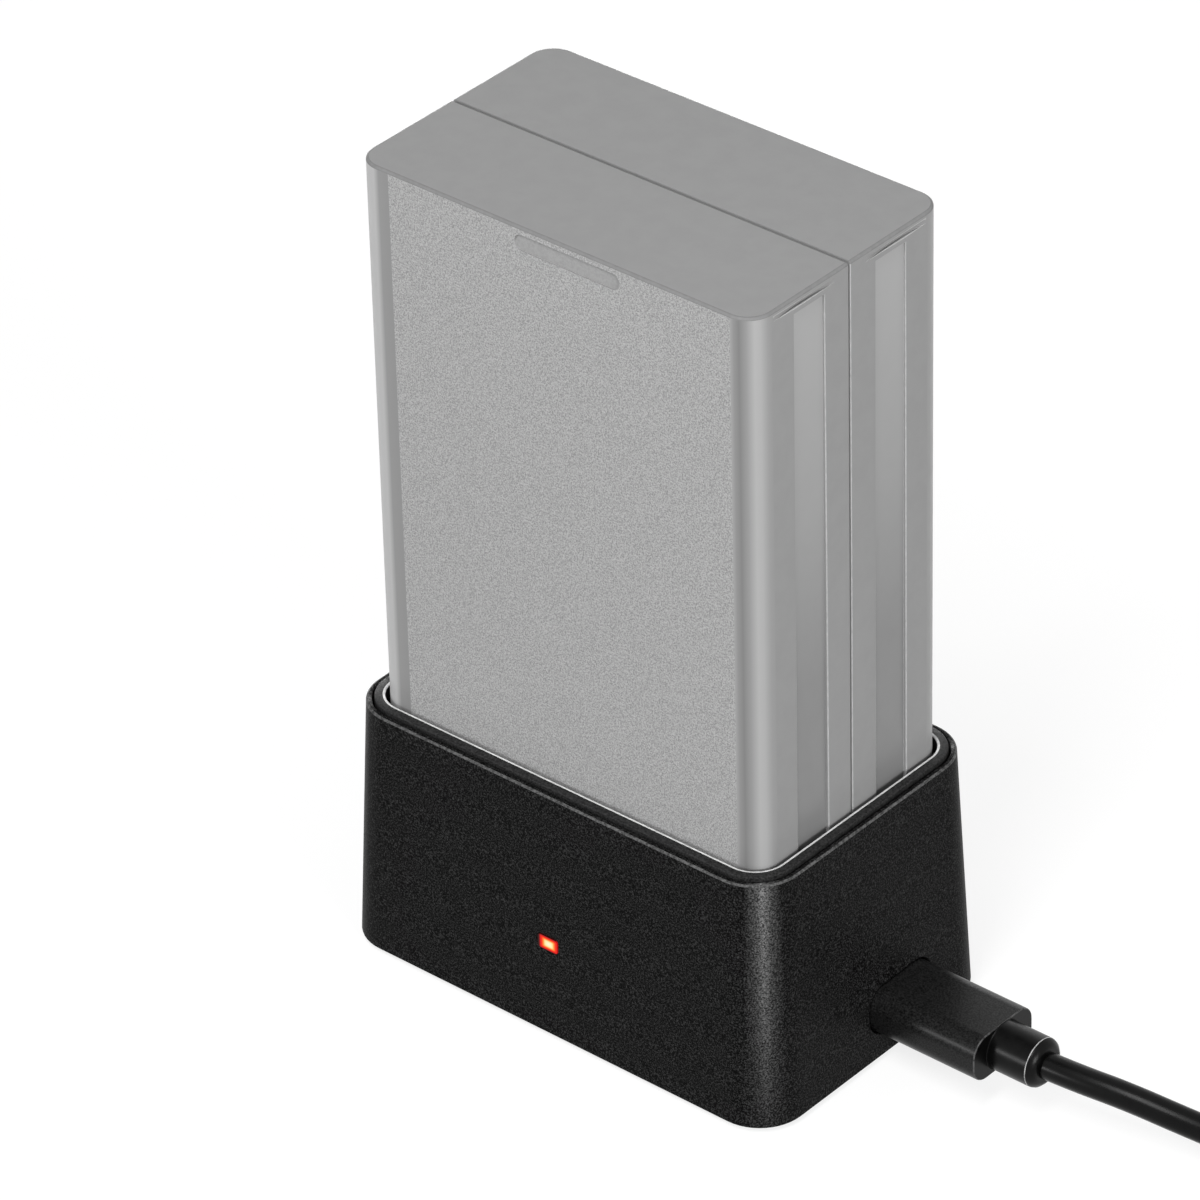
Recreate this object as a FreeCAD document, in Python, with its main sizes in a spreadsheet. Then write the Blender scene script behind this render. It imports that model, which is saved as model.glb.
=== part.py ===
"""Flash battery charger: a tapered desk dock with a battery standing in its well and a USB lead plugged in."""
import FreeCAD, Part
import math
import os
import Sketcher

doc = FreeCAD.newDocument("flash_battery_charger")

# Driving dimensions, in millimetres.
SIZES = {
    # Battery pack
    "battery_width": 50.1,
    "battery_depth": 29.1,
    "battery_height": 78.4,
    "battery_corner": 2.8,
    "battery_wall": 1.6,
    "battery_edge": 0.3,
    "seam_width": 0.24,
    "seam_depth": 0.3,
    "strip_width": 4.7,
    "strip_from_seam": 3.8,
    "strip_depth": 0.3,
    "strip_drop": 1.75,
    "finger_groove_height": 0.5,
    "finger_groove_depth": 0.35,
    "finger_groove_drop": 0.65,
    "finger_groove_from_seam": 2.6,
    "nail_slot_length": 13.2,
    "nail_slot_height": 1.8,
    "nail_slot_depth": 0.4,
    "nail_slot_drop": 0.85,
    "nail_slot_offset": 2.1,
    "cell_diameter": 21.2,
    "cell_pad_thickness": 2.7,
    "cell_gap": 0.6,
    "cell_clearance": 0.15,
    "holder_height": 6.0,
    "holder_floor": 1.2,
    "holder_clearance": 0.3,
    "link_width": 7.0,
    "link_thickness": 0.2,
    "link_margin": 6.0,
    "protection_board_thickness": 0.8,
    "protection_board_margin": 1.5,
    "terminal_length": 4.0,
    "terminal_width": 2.6,
    "terminal_recess": 0.8,
    "terminal_clearance": 0.1,
    # Dock casing
    "well_clearance": 0.5,
    "cradle_wall": 1.15,
    "cradle_floor": 1.5,
    "rim_proud": 0.4,
    "rim_round": 0.2,
    "part_line_gap": 0.25,
    "housing_lip": 0.6,
    "housing_taper": 1.1,
    "housing_height": 28.8,
    "housing_edge": 0.3,
    "rib_width": 3.0,
    "rib_depth": 1.6,
    "rib_spacing": 34.0,
    "base_thickness": 2.0,
    "base_ledge": 0.6,
    "base_clearance": 0.1,
    "foot_diameter": 7.0,
    "foot_proud": 0.5,
    "foot_recess": 0.6,
    "foot_clearance": 0.1,
    "foot_inset": 5.6,
    "standoff_height": 1.4,
    "boss_diameter": 5.0,
    "boss_length": 8.1,
    "boss_spacing_x": 26.0,
    "boss_spacing_y": 21.0,
    "screw_diameter": 2.0,
    "screw_head_diameter": 3.8,
    "screw_head_height": 1.3,
    "screw_length": 9.0,
    "screw_clearance": 0.15,
    "screw_head_sunk": 1.6,
    # Electronics in the dock
    "board_thickness": 1.0,
    "board_margin": 0.4,
    "board_corner": 2.0,
    "contact_pitch": 5.0,
    "contact_from_rear": 8.4,
    "contact_width": 2.0,
    "contact_thickness": 0.3,
    "contact_bend": 1.6,
    "contact_tail": 1.7,
    "contact_clearance": 0.4,
    "contact_block_margin": 2.0,
    "contact_block_height": 6.4,
    "contact_slot_clearance": 0.05,
    "window_width": 2.6,
    "window_height": 1.7,
    "window_corner": 0.4,
    "window_clearance": 0.05,
    "window_offset": -0.3,
    "window_above_board": 6.65,
    "pipe_reach": 5.8,
    "pipe_leg": 2.0,
    "led_length": 2.0,
    "led_width": 1.25,
    "led_height": 0.8,
    "chip_length": 5.0,
    "chip_width": 4.0,
    "chip_height": 1.5,
    "inductor_size": 6.0,
    "inductor_height": 3.0,
    "inductor_corner": 1.2,
    "capacitor_length": 3.2,
    "capacitor_width": 1.6,
    "capacitor_height": 1.3,
    # USB socket and micro plug
    "socket_width": 7.5,
    "socket_height": 2.5,
    "socket_depth": 6.0,
    "socket_wall": 0.25,
    "socket_back": 0.5,
    "socket_setback": 0.1,
    "tongue_width": 3.6,
    "tongue_thickness": 0.5,
    "tongue_length": 4.2,
    "plug_offset": 3.4,
    "plug_gap": 0.4,
    "plug_width": 9.5,
    "plug_thickness": 5.3,
    "plug_corner": 2.1,
    "plug_length": 14.25,
    "plug_edge": 0.25,
    "plug_clearance": 0.25,
    "plug_shell_width": 6.85,
    "plug_shell_height": 1.8,
    "plug_shell_length": 5.7,
    "plug_shell_wall": 0.25,
    "sleeve_diameter": 5.4,
    "sleeve_length": 5.7,
    "sleeve_chamfer": 0.9,
    # Cord, its coil and the USB-A plug
    "cord_diameter": 2.9,
    "coil_radius": 15.0,
    "coil_lead": 12.0,
    "tie_width": 4.0,
    "tie_thickness": 0.6,
    "tie_proud": 0.25,
    "a_body_width": 15.5,
    "a_body_thickness": 8.7,
    "a_body_length": 15.9,
    "a_body_corner": 2.2,
    "a_sleeve_diameter": 6.6,
    "a_shell_width": 12.0,
    "a_shell_height": 4.5,
    "a_shell_length": 11.5,
    "a_shell_wall": 0.3,
    "a_shell_corner": 0.5,
    "a_window_length": 2.1,
    "a_window_width": 2.6,
    "a_window_spacing": 5.0,
    "a_window_from_body": 5.0,
    "a_insulator_height": 1.9,
    "a_insulator_setback": 0.4,
    "a_fit": 0.1,
    "a_contact_width": 1.0,
    "a_contact_length": 7.4,
    "a_contact_thickness": 0.25,
    "a_contact_pitch": 2.4,
}

sheet = doc.addObject("Spreadsheet::Sheet", "sizes")
for row, (alias, number) in enumerate(SIZES.items(), start=1):
    sheet.set(f"A{row}", alias)
    sheet.set(f"B{row}", str(number))
    sheet.setAlias(f"B{row}", alias)
doc.recompute()


class Size:
    """A length with its number and the sheet expression that it is bound by."""

    def __init__(self, number, text):
        self.number = float(number)
        self.text = text

    @staticmethod
    def of(other):
        return other if isinstance(other, Size) else Size(other, repr(float(other)))

    def __add__(self, other):
        other = Size.of(other)
        return Size(self.number + other.number, f"({self.text} + {other.text})")

    def __sub__(self, other):
        other = Size.of(other)
        return Size(self.number - other.number, f"({self.text} - {other.text})")

    def __mul__(self, other):
        other = Size.of(other)
        return Size(self.number * other.number, f"({self.text} * {other.text})")

    def __truediv__(self, other):
        other = Size.of(other)
        return Size(self.number / other.number, f"({self.text} / {other.text})")

    def __neg__(self):
        return self * -1

    def __rmul__(self, other):
        return self * other


class Sizes:
    """The sheet's cells by alias."""

    def __getattr__(self, alias):
        return Size(sheet.get(alias), f"sizes.{alias}")


size = Sizes()
ZERO = Size(0, "0")

# Levels above the desk, from the bottom up.
base_bottom = size.foot_proud
base_top = base_bottom + size.base_thickness
board_under = base_top + size.standoff_height
board_top = board_under + size.board_thickness
plug_axis = board_top + size.socket_height / 2
cradle_under = board_top + size.boss_length
well_floor = cradle_under + size.cradle_floor
housing_top = base_bottom + size.housing_height
rim_top = housing_top + size.rim_proud
battery_top = well_floor + size.battery_height
terminal_face = well_floor + size.terminal_recess
window_level = board_top + size.window_above_board

# Outlines in plan, from the battery outwards: width, depth and corner radius.
battery_plan = (size.battery_width, size.battery_depth, size.battery_corner)
contact_row = size.battery_depth / 2 - size.contact_from_rear


def grown(plan, margin):
    width, depth, corner = plan
    return (width + 2 * margin, depth + 2 * margin, corner + margin)


well_plan = grown(battery_plan, size.well_clearance)
cradle_plan = grown(well_plan, size.cradle_wall)
cavity_plan = grown(cradle_plan, size.part_line_gap)
housing_top_plan = grown(cavity_plan, size.housing_lip)
housing_foot_plan = (*(side + 2 * size.housing_taper for side in housing_top_plan[:2]), housing_top_plan[2])
rebate_plan = grown(cavity_plan, size.base_ledge)
base_plan = grown(rebate_plan, -size.base_clearance)

pieces = []


def piece(kind, label):
    """A named sub-part of the document."""
    made = doc.addObject(kind, label)
    made.Label = label
    pieces.append(made)
    return made


def bind(thing, **paths):
    """Ties properties to sheet expressions; a double underscore in a name stands for a dot."""
    for path, length in paths.items():
        thing.setExpression(path.replace("__", "."), Size.of(length).text)


def place(thing, x=ZERO, y=ZERO, z=ZERO):
    bind(thing, Placement__Base__x=x, Placement__Base__y=y, Placement__Base__z=z)


def sketch_on(body, name, role, level=ZERO, across=ZERO, along=ZERO):
    """A sketch on one of the body's own origin planes, moved by bound offsets."""
    sketch = body.newObject("Sketcher::SketchObject", f"{body.Name}_{name}")
    plane = next(p for p in body.Origin.OriginFeatures if p.Role == role)
    sketch.AttachmentSupport = (plane, [""])
    sketch.MapMode = "FlatFace"
    bind(sketch, AttachmentOffset__Base__x=across)
    bind(sketch, AttachmentOffset__Base__y=along)
    bind(sketch, AttachmentOffset__Base__z=level)
    return sketch


def dimension(sketch, constraint, length):
    """Adds a dimension and ties it to the sheet."""
    index = sketch.addConstraint(constraint)
    sketch.setExpression(f"Constraints[{index}]", Size.of(length).text)


def rounded_rectangle(sketch, width, height, radius):
    """A rectangle with round corners, centred on the sketch's origin."""
    right, top, r = width.number / 2, height.number / 2, radius.number
    up = FreeCAD.Vector(0, 0, 1)

    def at(x, y):
        return FreeCAD.Vector(x, y, 0)

    sides = [
        (at(r - right, -top), at(right - r, -top)),
        (at(right, r - top), at(right, top - r)),
        (at(right - r, top), at(r - right, top)),
        (at(-right, top - r), at(-right, r - top)),
    ]
    centres = [at(right - r, r - top), at(right - r, top - r), at(r - right, top - r), at(r - right, r - top)]
    lines = [sketch.addGeometry(Part.LineSegment(*ends), False) for ends in sides]
    arcs = []
    for quarter, centre in enumerate(centres):
        start = (quarter - 1) * math.pi / 2
        circle = Part.Circle(centre, up, r)
        arcs.append(sketch.addGeometry(Part.ArcOfCircle(circle, start, start + math.pi / 2), False))
    for quarter in range(4):
        line, arc, following = lines[quarter], arcs[quarter], lines[(quarter + 1) % 4]
        sketch.addConstraint(Sketcher.Constraint("Tangent", line, 2, arc, 1))
        sketch.addConstraint(Sketcher.Constraint("Tangent", arc, 2, following, 1))
    sketch.addConstraint(Sketcher.Constraint("Horizontal", lines[0]))
    sketch.addConstraint(Sketcher.Constraint("Horizontal", lines[2]))
    sketch.addConstraint(Sketcher.Constraint("Vertical", lines[1]))
    sketch.addConstraint(Sketcher.Constraint("Vertical", lines[3]))
    for arc in arcs[1:]:
        sketch.addConstraint(Sketcher.Constraint("Equal", arcs[0], arc))
    sketch.addConstraint(Sketcher.Constraint("Symmetric", lines[0], 1, lines[2], 1, -1, 1))
    dimension(sketch, Sketcher.Constraint("Radius", arcs[0], r), radius)
    dimension(sketch, Sketcher.Constraint("DistanceX", lines[3], 1, lines[1], 1, 2 * right), width)
    dimension(sketch, Sketcher.Constraint("DistanceY", lines[0], 1, lines[2], 1, 2 * top), height)


def rectangle(sketch, width, height, x=ZERO, y=ZERO):
    """A plain rectangle about a point of the sketch."""
    left, right = x.number - width.number / 2, x.number + width.number / 2
    low, high = y.number - height.number / 2, y.number + height.number / 2
    corners = [FreeCAD.Vector(*c, 0) for c in ((left, low), (right, low), (right, high), (left, high))]
    lines = [
        sketch.addGeometry(Part.LineSegment(corners[n], corners[(n + 1) % 4]), False) for n in range(4)
    ]
    for n in range(4):
        sketch.addConstraint(Sketcher.Constraint("Coincident", lines[n], 2, lines[(n + 1) % 4], 1))
    for n in (0, 2):
        sketch.addConstraint(Sketcher.Constraint("Horizontal", lines[n]))
        sketch.addConstraint(Sketcher.Constraint("Vertical", lines[n + 1]))
    dimension(sketch, Sketcher.Constraint("DistanceX", lines[0], 1, lines[0], 2, right - left), width)
    dimension(sketch, Sketcher.Constraint("DistanceY", lines[1], 1, lines[1], 2, high - low), height)
    dimension(sketch, Sketcher.Constraint("DistanceX", -1, 1, lines[0], 1, left), x - width / 2)
    dimension(sketch, Sketcher.Constraint("DistanceY", -1, 1, lines[0], 1, low), y - height / 2)


def circle(sketch, diameter, x=ZERO, y=ZERO):
    centre = FreeCAD.Vector(x.number, y.number, 0)
    ring = sketch.addGeometry(Part.Circle(centre, FreeCAD.Vector(0, 0, 1), diameter.number / 2), False)
    dimension(sketch, Sketcher.Constraint("Diameter", ring, diameter.number), diameter)
    dimension(sketch, Sketcher.Constraint("DistanceX", -1, 1, ring, 3, x.number), x)
    dimension(sketch, Sketcher.Constraint("DistanceY", -1, 1, ring, 3, y.number), y)


def pad(body, sketch, length, reverse=False):
    feature = body.newObject("PartDesign::Pad", f"{sketch.Name}_pad")
    feature.Profile = sketch
    feature.Reversed = reverse
    bind(feature, Length=length)
    return feature


def pocket(body, sketch, length, reverse=False):
    """Cuts against the sketch's normal, or along it when reversed."""
    feature = body.newObject("PartDesign::Pocket", f"{sketch.Name}_pocket")
    feature.Profile = sketch
    feature.Reversed = reverse
    bind(feature, Length=length)
    return feature


def edges_where(feature, test):
    """The names of a feature's edges whose every vertex and middle point pass a test."""
    doc.recompute()
    names = []
    for number, edge in enumerate(feature.Shape.Edges, start=1):
        middle = edge.valueAt((edge.FirstParameter + edge.LastParameter) / 2)
        points = [vertex.Point for vertex in edge.Vertexes] + [middle]
        if all(test(point) for point in points):
            names.append(f"Edge{number}")
    return names


def soften(body, kind, test, length):
    """Rounds or bevels the edges of the body's last feature that pass a test."""
    base = body.Tip
    names = edges_where(base, test)
    feature = body.newObject(f"PartDesign::{kind}", f"{body.Name}_{kind.lower()}")
    feature.Base = (base, names)
    bind(feature, **{"Radius" if kind == "Fillet" else "Size": length})
    return feature


def near(number, length):
    return abs(number - length.number) < 1e-4


def quadrants(spacing_x, spacing_y):
    """Four places about the middle, one in each corner."""
    return [(spacing_x * sx / 2, spacing_y * sy / 2) for sx in (-1, 1) for sy in (-1, 1)]


boss_places = quadrants(size.boss_spacing_x, size.boss_spacing_y)

# Outer housing: a tapered shell, open below for the base plate and above for the cradle.
housing = piece("PartDesign::Body", "outer_housing")
housing_sections = [
    (base_bottom, grown(housing_foot_plan, -size.housing_edge)),
    (base_bottom + size.housing_edge, housing_foot_plan),
    (housing_top - size.housing_edge, housing_top_plan),
    (housing_top, grown(housing_top_plan, -size.housing_edge)),
]
outlines = []
for number, (level, plan) in enumerate(housing_sections, start=1):
    outlines.append(sketch_on(housing, f"section_{number}", "XY_Plane", level))
    rounded_rectangle(outlines[-1], *plan)
shell = housing.newObject("PartDesign::AdditiveLoft", "outer_housing_loft")
shell.Profile = outlines[0]
shell.Sections = outlines[1:]
shell.Ruled = True
cavity = sketch_on(housing, "cavity", "XY_Plane", housing_top)
rounded_rectangle(cavity, *cavity_plan)
pocket(housing, cavity, size.housing_height)
rebate = sketch_on(housing, "rebate", "XY_Plane", base_bottom)
rounded_rectangle(rebate, *rebate_plan)
pocket(housing, rebate, size.base_thickness, reverse=True)
ribs = sketch_on(housing, "ribs", "XY_Plane", base_top)
rib_root = size.housing_lip / 2
rib_middle = cavity_plan[1] / 2 - size.rib_depth / 2 + rib_root / 2
for rib_x, rib_y in quadrants(size.rib_spacing, 2 * rib_middle):
    rectangle(ribs, size.rib_width, size.rib_depth + rib_root, rib_x, rib_y)
pad(housing, ribs, cradle_under - base_top)
window_hole = sketch_on(housing, "window", "XZ_Plane", housing_foot_plan[1] / 2, size.window_offset, window_level)
rounded_rectangle(
    window_hole,
    size.window_width + 2 * size.window_clearance,
    size.window_height + 2 * size.window_clearance,
    size.window_corner + size.window_clearance,
)
pocket(housing, window_hole, size.housing_taper + size.housing_lip + size.part_line_gap)
plug_hole = sketch_on(housing, "plug", "YZ_Plane", housing_foot_plan[0] / 2, size.plug_offset, plug_axis)
plug_plan = (size.plug_width, size.plug_thickness, size.plug_corner)
rounded_rectangle(plug_hole, *grown(plug_plan, size.plug_clearance))
pocket(housing, plug_hole, size.housing_taper + size.housing_lip + size.part_line_gap)

# Cradle: the well that the battery stands in; its top edge is the rim, and its bosses take the case screws.
cradle = piece("PartDesign::Body", "cradle")
cradle_outline = sketch_on(cradle, "outline", "XY_Plane", cradle_under)
rounded_rectangle(cradle_outline, *cradle_plan)
pad(cradle, cradle_outline, rim_top - cradle_under)
well = sketch_on(cradle, "well", "XY_Plane", rim_top)
rounded_rectangle(well, *well_plan)
pocket(cradle, well, rim_top - well_floor)
soften(cradle, "Fillet", lambda p: near(p.z, rim_top), size.rim_round)
bosses = sketch_on(cradle, "bosses", "XY_Plane", cradle_under)
pilots = sketch_on(cradle, "pilots", "XY_Plane", board_top)
for x, y in boss_places:
    circle(bosses, size.boss_diameter, x, y)
    circle(pilots, size.screw_diameter + 2 * size.contact_slot_clearance, x, y)
pad(cradle, bosses, size.boss_length, reverse=True)
pocket(cradle, pilots, size.boss_length, reverse=True)
contact_places = [size.contact_pitch * n for n in (-1, 0, 1)]
contact_slots = sketch_on(cradle, "contact_slots", "XY_Plane", well_floor)
for x in contact_places:
    rectangle(
        contact_slots,
        size.contact_width + 2 * size.contact_clearance,
        2 * size.contact_bend + 2 * size.contact_clearance,
        x,
        contact_row,
    )
pocket(cradle, contact_slots, size.cradle_floor)

# Base plate: closes the housing from below and carries the board on four standoffs.
base = piece("PartDesign::Body", "base_plate")
base_outline = sketch_on(base, "outline", "XY_Plane", base_bottom)
rounded_rectangle(base_outline, *base_plan)
pad(base, base_outline, size.base_thickness)
standoffs = sketch_on(base, "standoffs", "XY_Plane", base_top)
screw_holes = sketch_on(base, "screw_holes", "XY_Plane", board_under)
head_holes = sketch_on(base, "head_holes", "XY_Plane", base_bottom)
for x, y in boss_places:
    circle(standoffs, size.boss_diameter, x, y)
    circle(screw_holes, size.screw_diameter + 2 * size.screw_clearance, x, y)
    circle(head_holes, size.screw_head_diameter + 2 * size.screw_clearance, x, y)
pad(base, standoffs, size.standoff_height)
pocket(base, screw_holes, board_under - base_bottom)
pocket(base, head_holes, size.screw_head_sunk, reverse=True)
foot_places = quadrants(base_plan[0] - 2 * size.foot_inset, base_plan[1] - 2 * size.foot_inset)
foot_recesses = sketch_on(base, "foot_recesses", "XY_Plane", base_bottom)
for x, y in foot_places:
    circle(foot_recesses, size.foot_diameter + 2 * size.foot_clearance, x, y)
pocket(base, foot_recesses, size.foot_recess, reverse=True)

# Rubber feet: round pads glued in the base plate's recesses.
for number, (x, y) in enumerate(foot_places, start=1):
    foot = piece("PartDesign::Body", f"rubber_foot_{number}")
    foot_disc = sketch_on(foot, "disc", "XY_Plane")
    circle(foot_disc, size.foot_diameter, x, y)
    pad(foot, foot_disc, size.foot_proud + size.foot_recess)
    soften(foot, "Chamfer", lambda p: near(p.z, ZERO), size.foot_proud / 2)

# Case screws: four self-tapping screws up through the base plate and board into the cradle's bosses.
screw_seat = base_bottom + size.screw_head_sunk
screws = []
for number, (x, y) in enumerate(boss_places, start=1):
    head = doc.addObject("Part::Cylinder", f"screw_head_{number}")
    bind(head, Radius=size.screw_head_diameter / 2, Height=size.screw_head_height)
    place(head, x, y, screw_seat - size.screw_head_height)
    shank = doc.addObject("Part::Cylinder", f"screw_shank_{number}")
    bind(shank, Radius=size.screw_diameter / 2, Height=size.screw_length)
    place(shank, x, y, screw_seat)
    screw = doc.addObject("Part::Fuse", f"screw_{number}")
    screw.Base = head
    screw.Tool = shank
    screws.append(screw)
case_screws = piece("Part::Compound", "case_screws")
case_screws.Links = screws

# Circuit board, clamped between the standoffs and the cradle's bosses.
board = piece("PartDesign::Body", "circuit_board")
board_outline = sketch_on(board, "outline", "XY_Plane", board_under)
board_width = cavity_plan[0] - 2 * size.board_margin
board_depth = cavity_plan[1] - 2 * size.rib_depth - 2 * size.board_margin
rounded_rectangle(board_outline, board_width, board_depth, size.board_corner)
pad(board, board_outline, size.board_thickness)
board_holes = sketch_on(board, "holes", "XY_Plane", board_top)
for x, y in boss_places:
    circle(board_holes, size.screw_diameter + 2 * size.screw_clearance, x, y)
pocket(board, board_holes, size.board_thickness)


def box(label, length, width, height, x, y, z):
    """A plain block about a point in plan, standing on a level."""
    made = piece("Part::Box", label)
    bind(made, Length=length, Width=width, Height=height)
    place(made, x - length / 2, y - width / 2, z)
    return made


# Parts soldered on the board: charge controller, its inductor and two capacitors.
chip_x = -size.boss_spacing_x / 4 - size.contact_pitch
box("charge_controller", size.chip_length, size.chip_width, size.chip_height, chip_x, ZERO, board_top)
inductor = piece("PartDesign::Body", "power_inductor")
inductor_x = chip_x - size.chip_length / 2 - size.inductor_size
inductor_outline = sketch_on(inductor, "outline", "XY_Plane", board_top, inductor_x)
rounded_rectangle(inductor_outline, size.inductor_size, size.inductor_size, size.inductor_corner)
pad(inductor, inductor_outline, size.inductor_height)
for label, side in (("input_capacitor", 1), ("output_capacitor", -1)):
    capacitor_y = (size.inductor_size / 2 + size.capacitor_width) * side
    capacitor = (size.capacitor_length, size.capacitor_width, size.capacitor_height)
    box(label, *capacitor, chip_x, capacitor_y, board_top)

# Indicator: an LED on the board under a moulded light pipe that shows in the front wall.
front_face = -housing_foot_plan[1] / 2
face_slope = size.housing_taper / size.housing_height
window_face = front_face + face_slope * (window_level - base_bottom)
pipe = piece("PartDesign::Body", "light_pipe")
pipe_bar = sketch_on(pipe, "bar", "XZ_Plane", -window_face, size.window_offset, window_level)
rounded_rectangle(pipe_bar, size.window_width, size.window_height, size.window_corner)
pad(pipe, pipe_bar, size.pipe_reach, reverse=True)
pipe_leg_y = window_face + size.pipe_reach - size.pipe_leg / 2
pipe_leg = sketch_on(pipe, "leg", "XY_Plane", window_level, size.window_offset, pipe_leg_y)
rectangle(pipe_leg, size.window_width - 2 * size.window_corner, size.pipe_leg)
pad(pipe, pipe_leg, size.window_above_board - size.led_height, reverse=True)
led_size = (size.led_length, size.led_width, size.led_height)
box("indicator_led", *led_size, size.window_offset, pipe_leg_y, board_top)

# Contact block and its three spring contacts, which rise through the well's floor.
contact_leg = contact_row - size.contact_bend + size.contact_thickness / 2
block = piece("PartDesign::Body", "contact_block")
block_outline = sketch_on(block, "outline", "XY_Plane", board_top)
block_length = 2 * size.contact_pitch + size.contact_width + 2 * size.contact_block_margin
rectangle(block_outline, block_length, 2 * size.contact_block_margin, ZERO, contact_leg)
pad(block, block_outline, size.contact_block_height)
block_slots = sketch_on(block, "slots", "XY_Plane", board_top)
for x in contact_places:
    rectangle(
        block_slots,
        size.contact_width + 2 * size.contact_slot_clearance,
        size.contact_thickness + 2 * size.contact_slot_clearance,
        x,
        contact_leg,
    )
pocket(block, block_slots, size.contact_block_height, reverse=True)


def spring_profile(sketch, leg, tail):
    """A strip bent over into a hook: a long leg, a half round on top and a short tail."""
    outer, strip = size.contact_bend, size.contact_thickness
    inner = outer - strip
    up = FreeCAD.Vector(0, 0, 1)
    origin = FreeCAD.Vector(0, 0, 0)
    arcs = []
    for radius in (outer, inner):
        half = Part.ArcOfCircle(Part.Circle(origin, up, radius.number), 0, math.pi)
        arcs.append(sketch.addGeometry(half, False))
        sketch.addConstraint(Sketcher.Constraint("Coincident", arcs[-1], 3, -1, 1))
        dimension(sketch, Sketcher.Constraint("Radius", arcs[-1], radius.number), radius)
    for side, end, drop in ((-1, 2, leg), (1, 1, tail)):
        ends = []
        for arc, radius in zip(arcs, (outer, inner)):
            top = FreeCAD.Vector(side * radius.number, 0, 0)
            foot = FreeCAD.Vector(side * radius.number, -drop.number, 0)
            line = sketch.addGeometry(Part.LineSegment(top, foot), False)
            sketch.addConstraint(Sketcher.Constraint("Tangent", arc, end, line, 1))
            sketch.addConstraint(Sketcher.Constraint("Vertical", line))
            ends.append((line, foot))
        closing = sketch.addGeometry(Part.LineSegment(ends[0][1], ends[1][1]), False)
        sketch.addConstraint(Sketcher.Constraint("Coincident", ends[0][0], 2, closing, 1))
        sketch.addConstraint(Sketcher.Constraint("Coincident", ends[1][0], 2, closing, 2))
        sketch.addConstraint(Sketcher.Constraint("Horizontal", closing))
        dimension(sketch, Sketcher.Constraint("DistanceY", ends[0][0], 2, -1, 1, drop.number), drop)


spring_middle = terminal_face - size.contact_bend
for number, x in enumerate(contact_places, start=1):
    spring = piece("PartDesign::Body", f"spring_contact_{number}")
    start = x - size.contact_width / 2
    profile = sketch_on(spring, "profile", "YZ_Plane", start, contact_row, spring_middle)
    spring_profile(profile, spring_middle - board_top, size.contact_tail)
    pad(spring, profile, size.contact_width)

# USB socket: a folded metal shell on the board with a moulded tongue inside.
socket_face = cavity_plan[0] / 2 - size.socket_setback
socket_corner = 2 * size.socket_wall
socket = piece("PartDesign::Body", "usb_socket_shell")
socket_outline = sketch_on(socket, "outline", "YZ_Plane", socket_face, size.plug_offset, plug_axis)
rounded_rectangle(socket_outline, size.socket_width, size.socket_height, socket_corner)
pad(socket, socket_outline, size.socket_depth, reverse=True)
socket_mouth = sketch_on(socket, "mouth", "YZ_Plane", socket_face, size.plug_offset, plug_axis)
mouth_plan = grown((size.socket_width, size.socket_height, socket_corner), -size.socket_wall)
rounded_rectangle(socket_mouth, *mouth_plan)
pocket(socket, socket_mouth, size.socket_depth - size.socket_back)
socket_end = socket_face - size.socket_depth + size.socket_back
tongue_under = plug_axis - size.plug_shell_height / 2 + size.plug_shell_wall + size.contact_slot_clearance
tongue_middle = socket_end + size.tongue_length / 2
tongue = (size.tongue_length, size.tongue_width, size.tongue_thickness)
box("usb_socket_tongue", *tongue, tongue_middle, size.plug_offset, tongue_under)

# Micro plug: a moulded body with a round sleeve, a metal shell and an insulator that carries its contacts.
plug_face = socket_face + size.plug_gap
plug_end = plug_face + size.plug_length
cord_start = plug_end + size.sleeve_length
plug = piece("PartDesign::Body", "micro_plug_body")
plug_outline = sketch_on(plug, "outline", "YZ_Plane", plug_face, size.plug_offset, plug_axis)
rounded_rectangle(plug_outline, *plug_plan)
pad(plug, plug_outline, size.plug_length)
soften(plug, "Fillet", lambda p: near(p.x, plug_end), size.plug_edge)
sleeve = sketch_on(plug, "sleeve", "YZ_Plane", plug_end, size.plug_offset, plug_axis)
circle(sleeve, size.sleeve_diameter)
pad(plug, sleeve, size.sleeve_length)
soften(plug, "Chamfer", lambda p: near(p.x, cord_start), size.sleeve_chamfer)
plug_shell = piece("PartDesign::Body", "micro_plug_shell")
shell_outline = sketch_on(plug_shell, "outline", "YZ_Plane", plug_face, size.plug_offset, plug_axis)
shell_plan = (size.plug_shell_width, size.plug_shell_height, 2 * size.plug_shell_wall)
rounded_rectangle(shell_outline, *shell_plan)
pad(plug_shell, shell_outline, size.plug_shell_length, reverse=True)
shell_mouth = sketch_on(plug_shell, "mouth", "YZ_Plane", plug_face, size.plug_offset, plug_axis)
rounded_rectangle(shell_mouth, *grown(shell_plan, -size.plug_shell_wall))
pocket(plug_shell, shell_mouth, size.plug_shell_length)
insulator_length = size.plug_shell_length - size.plug_gap
insulator_height = size.plug_shell_height / 2 - size.plug_shell_wall - size.contact_slot_clearance
insulator_width = size.plug_shell_width - 4 * size.plug_shell_wall
box(
    "micro_plug_insulator",
    insulator_length,
    insulator_width,
    insulator_height,
    plug_face - insulator_length / 2,
    size.plug_offset,
    plug_axis,
)

# Battery shells: two moulded halves that meet at the middle of the pack.
half_depth = size.battery_depth / 2


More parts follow.
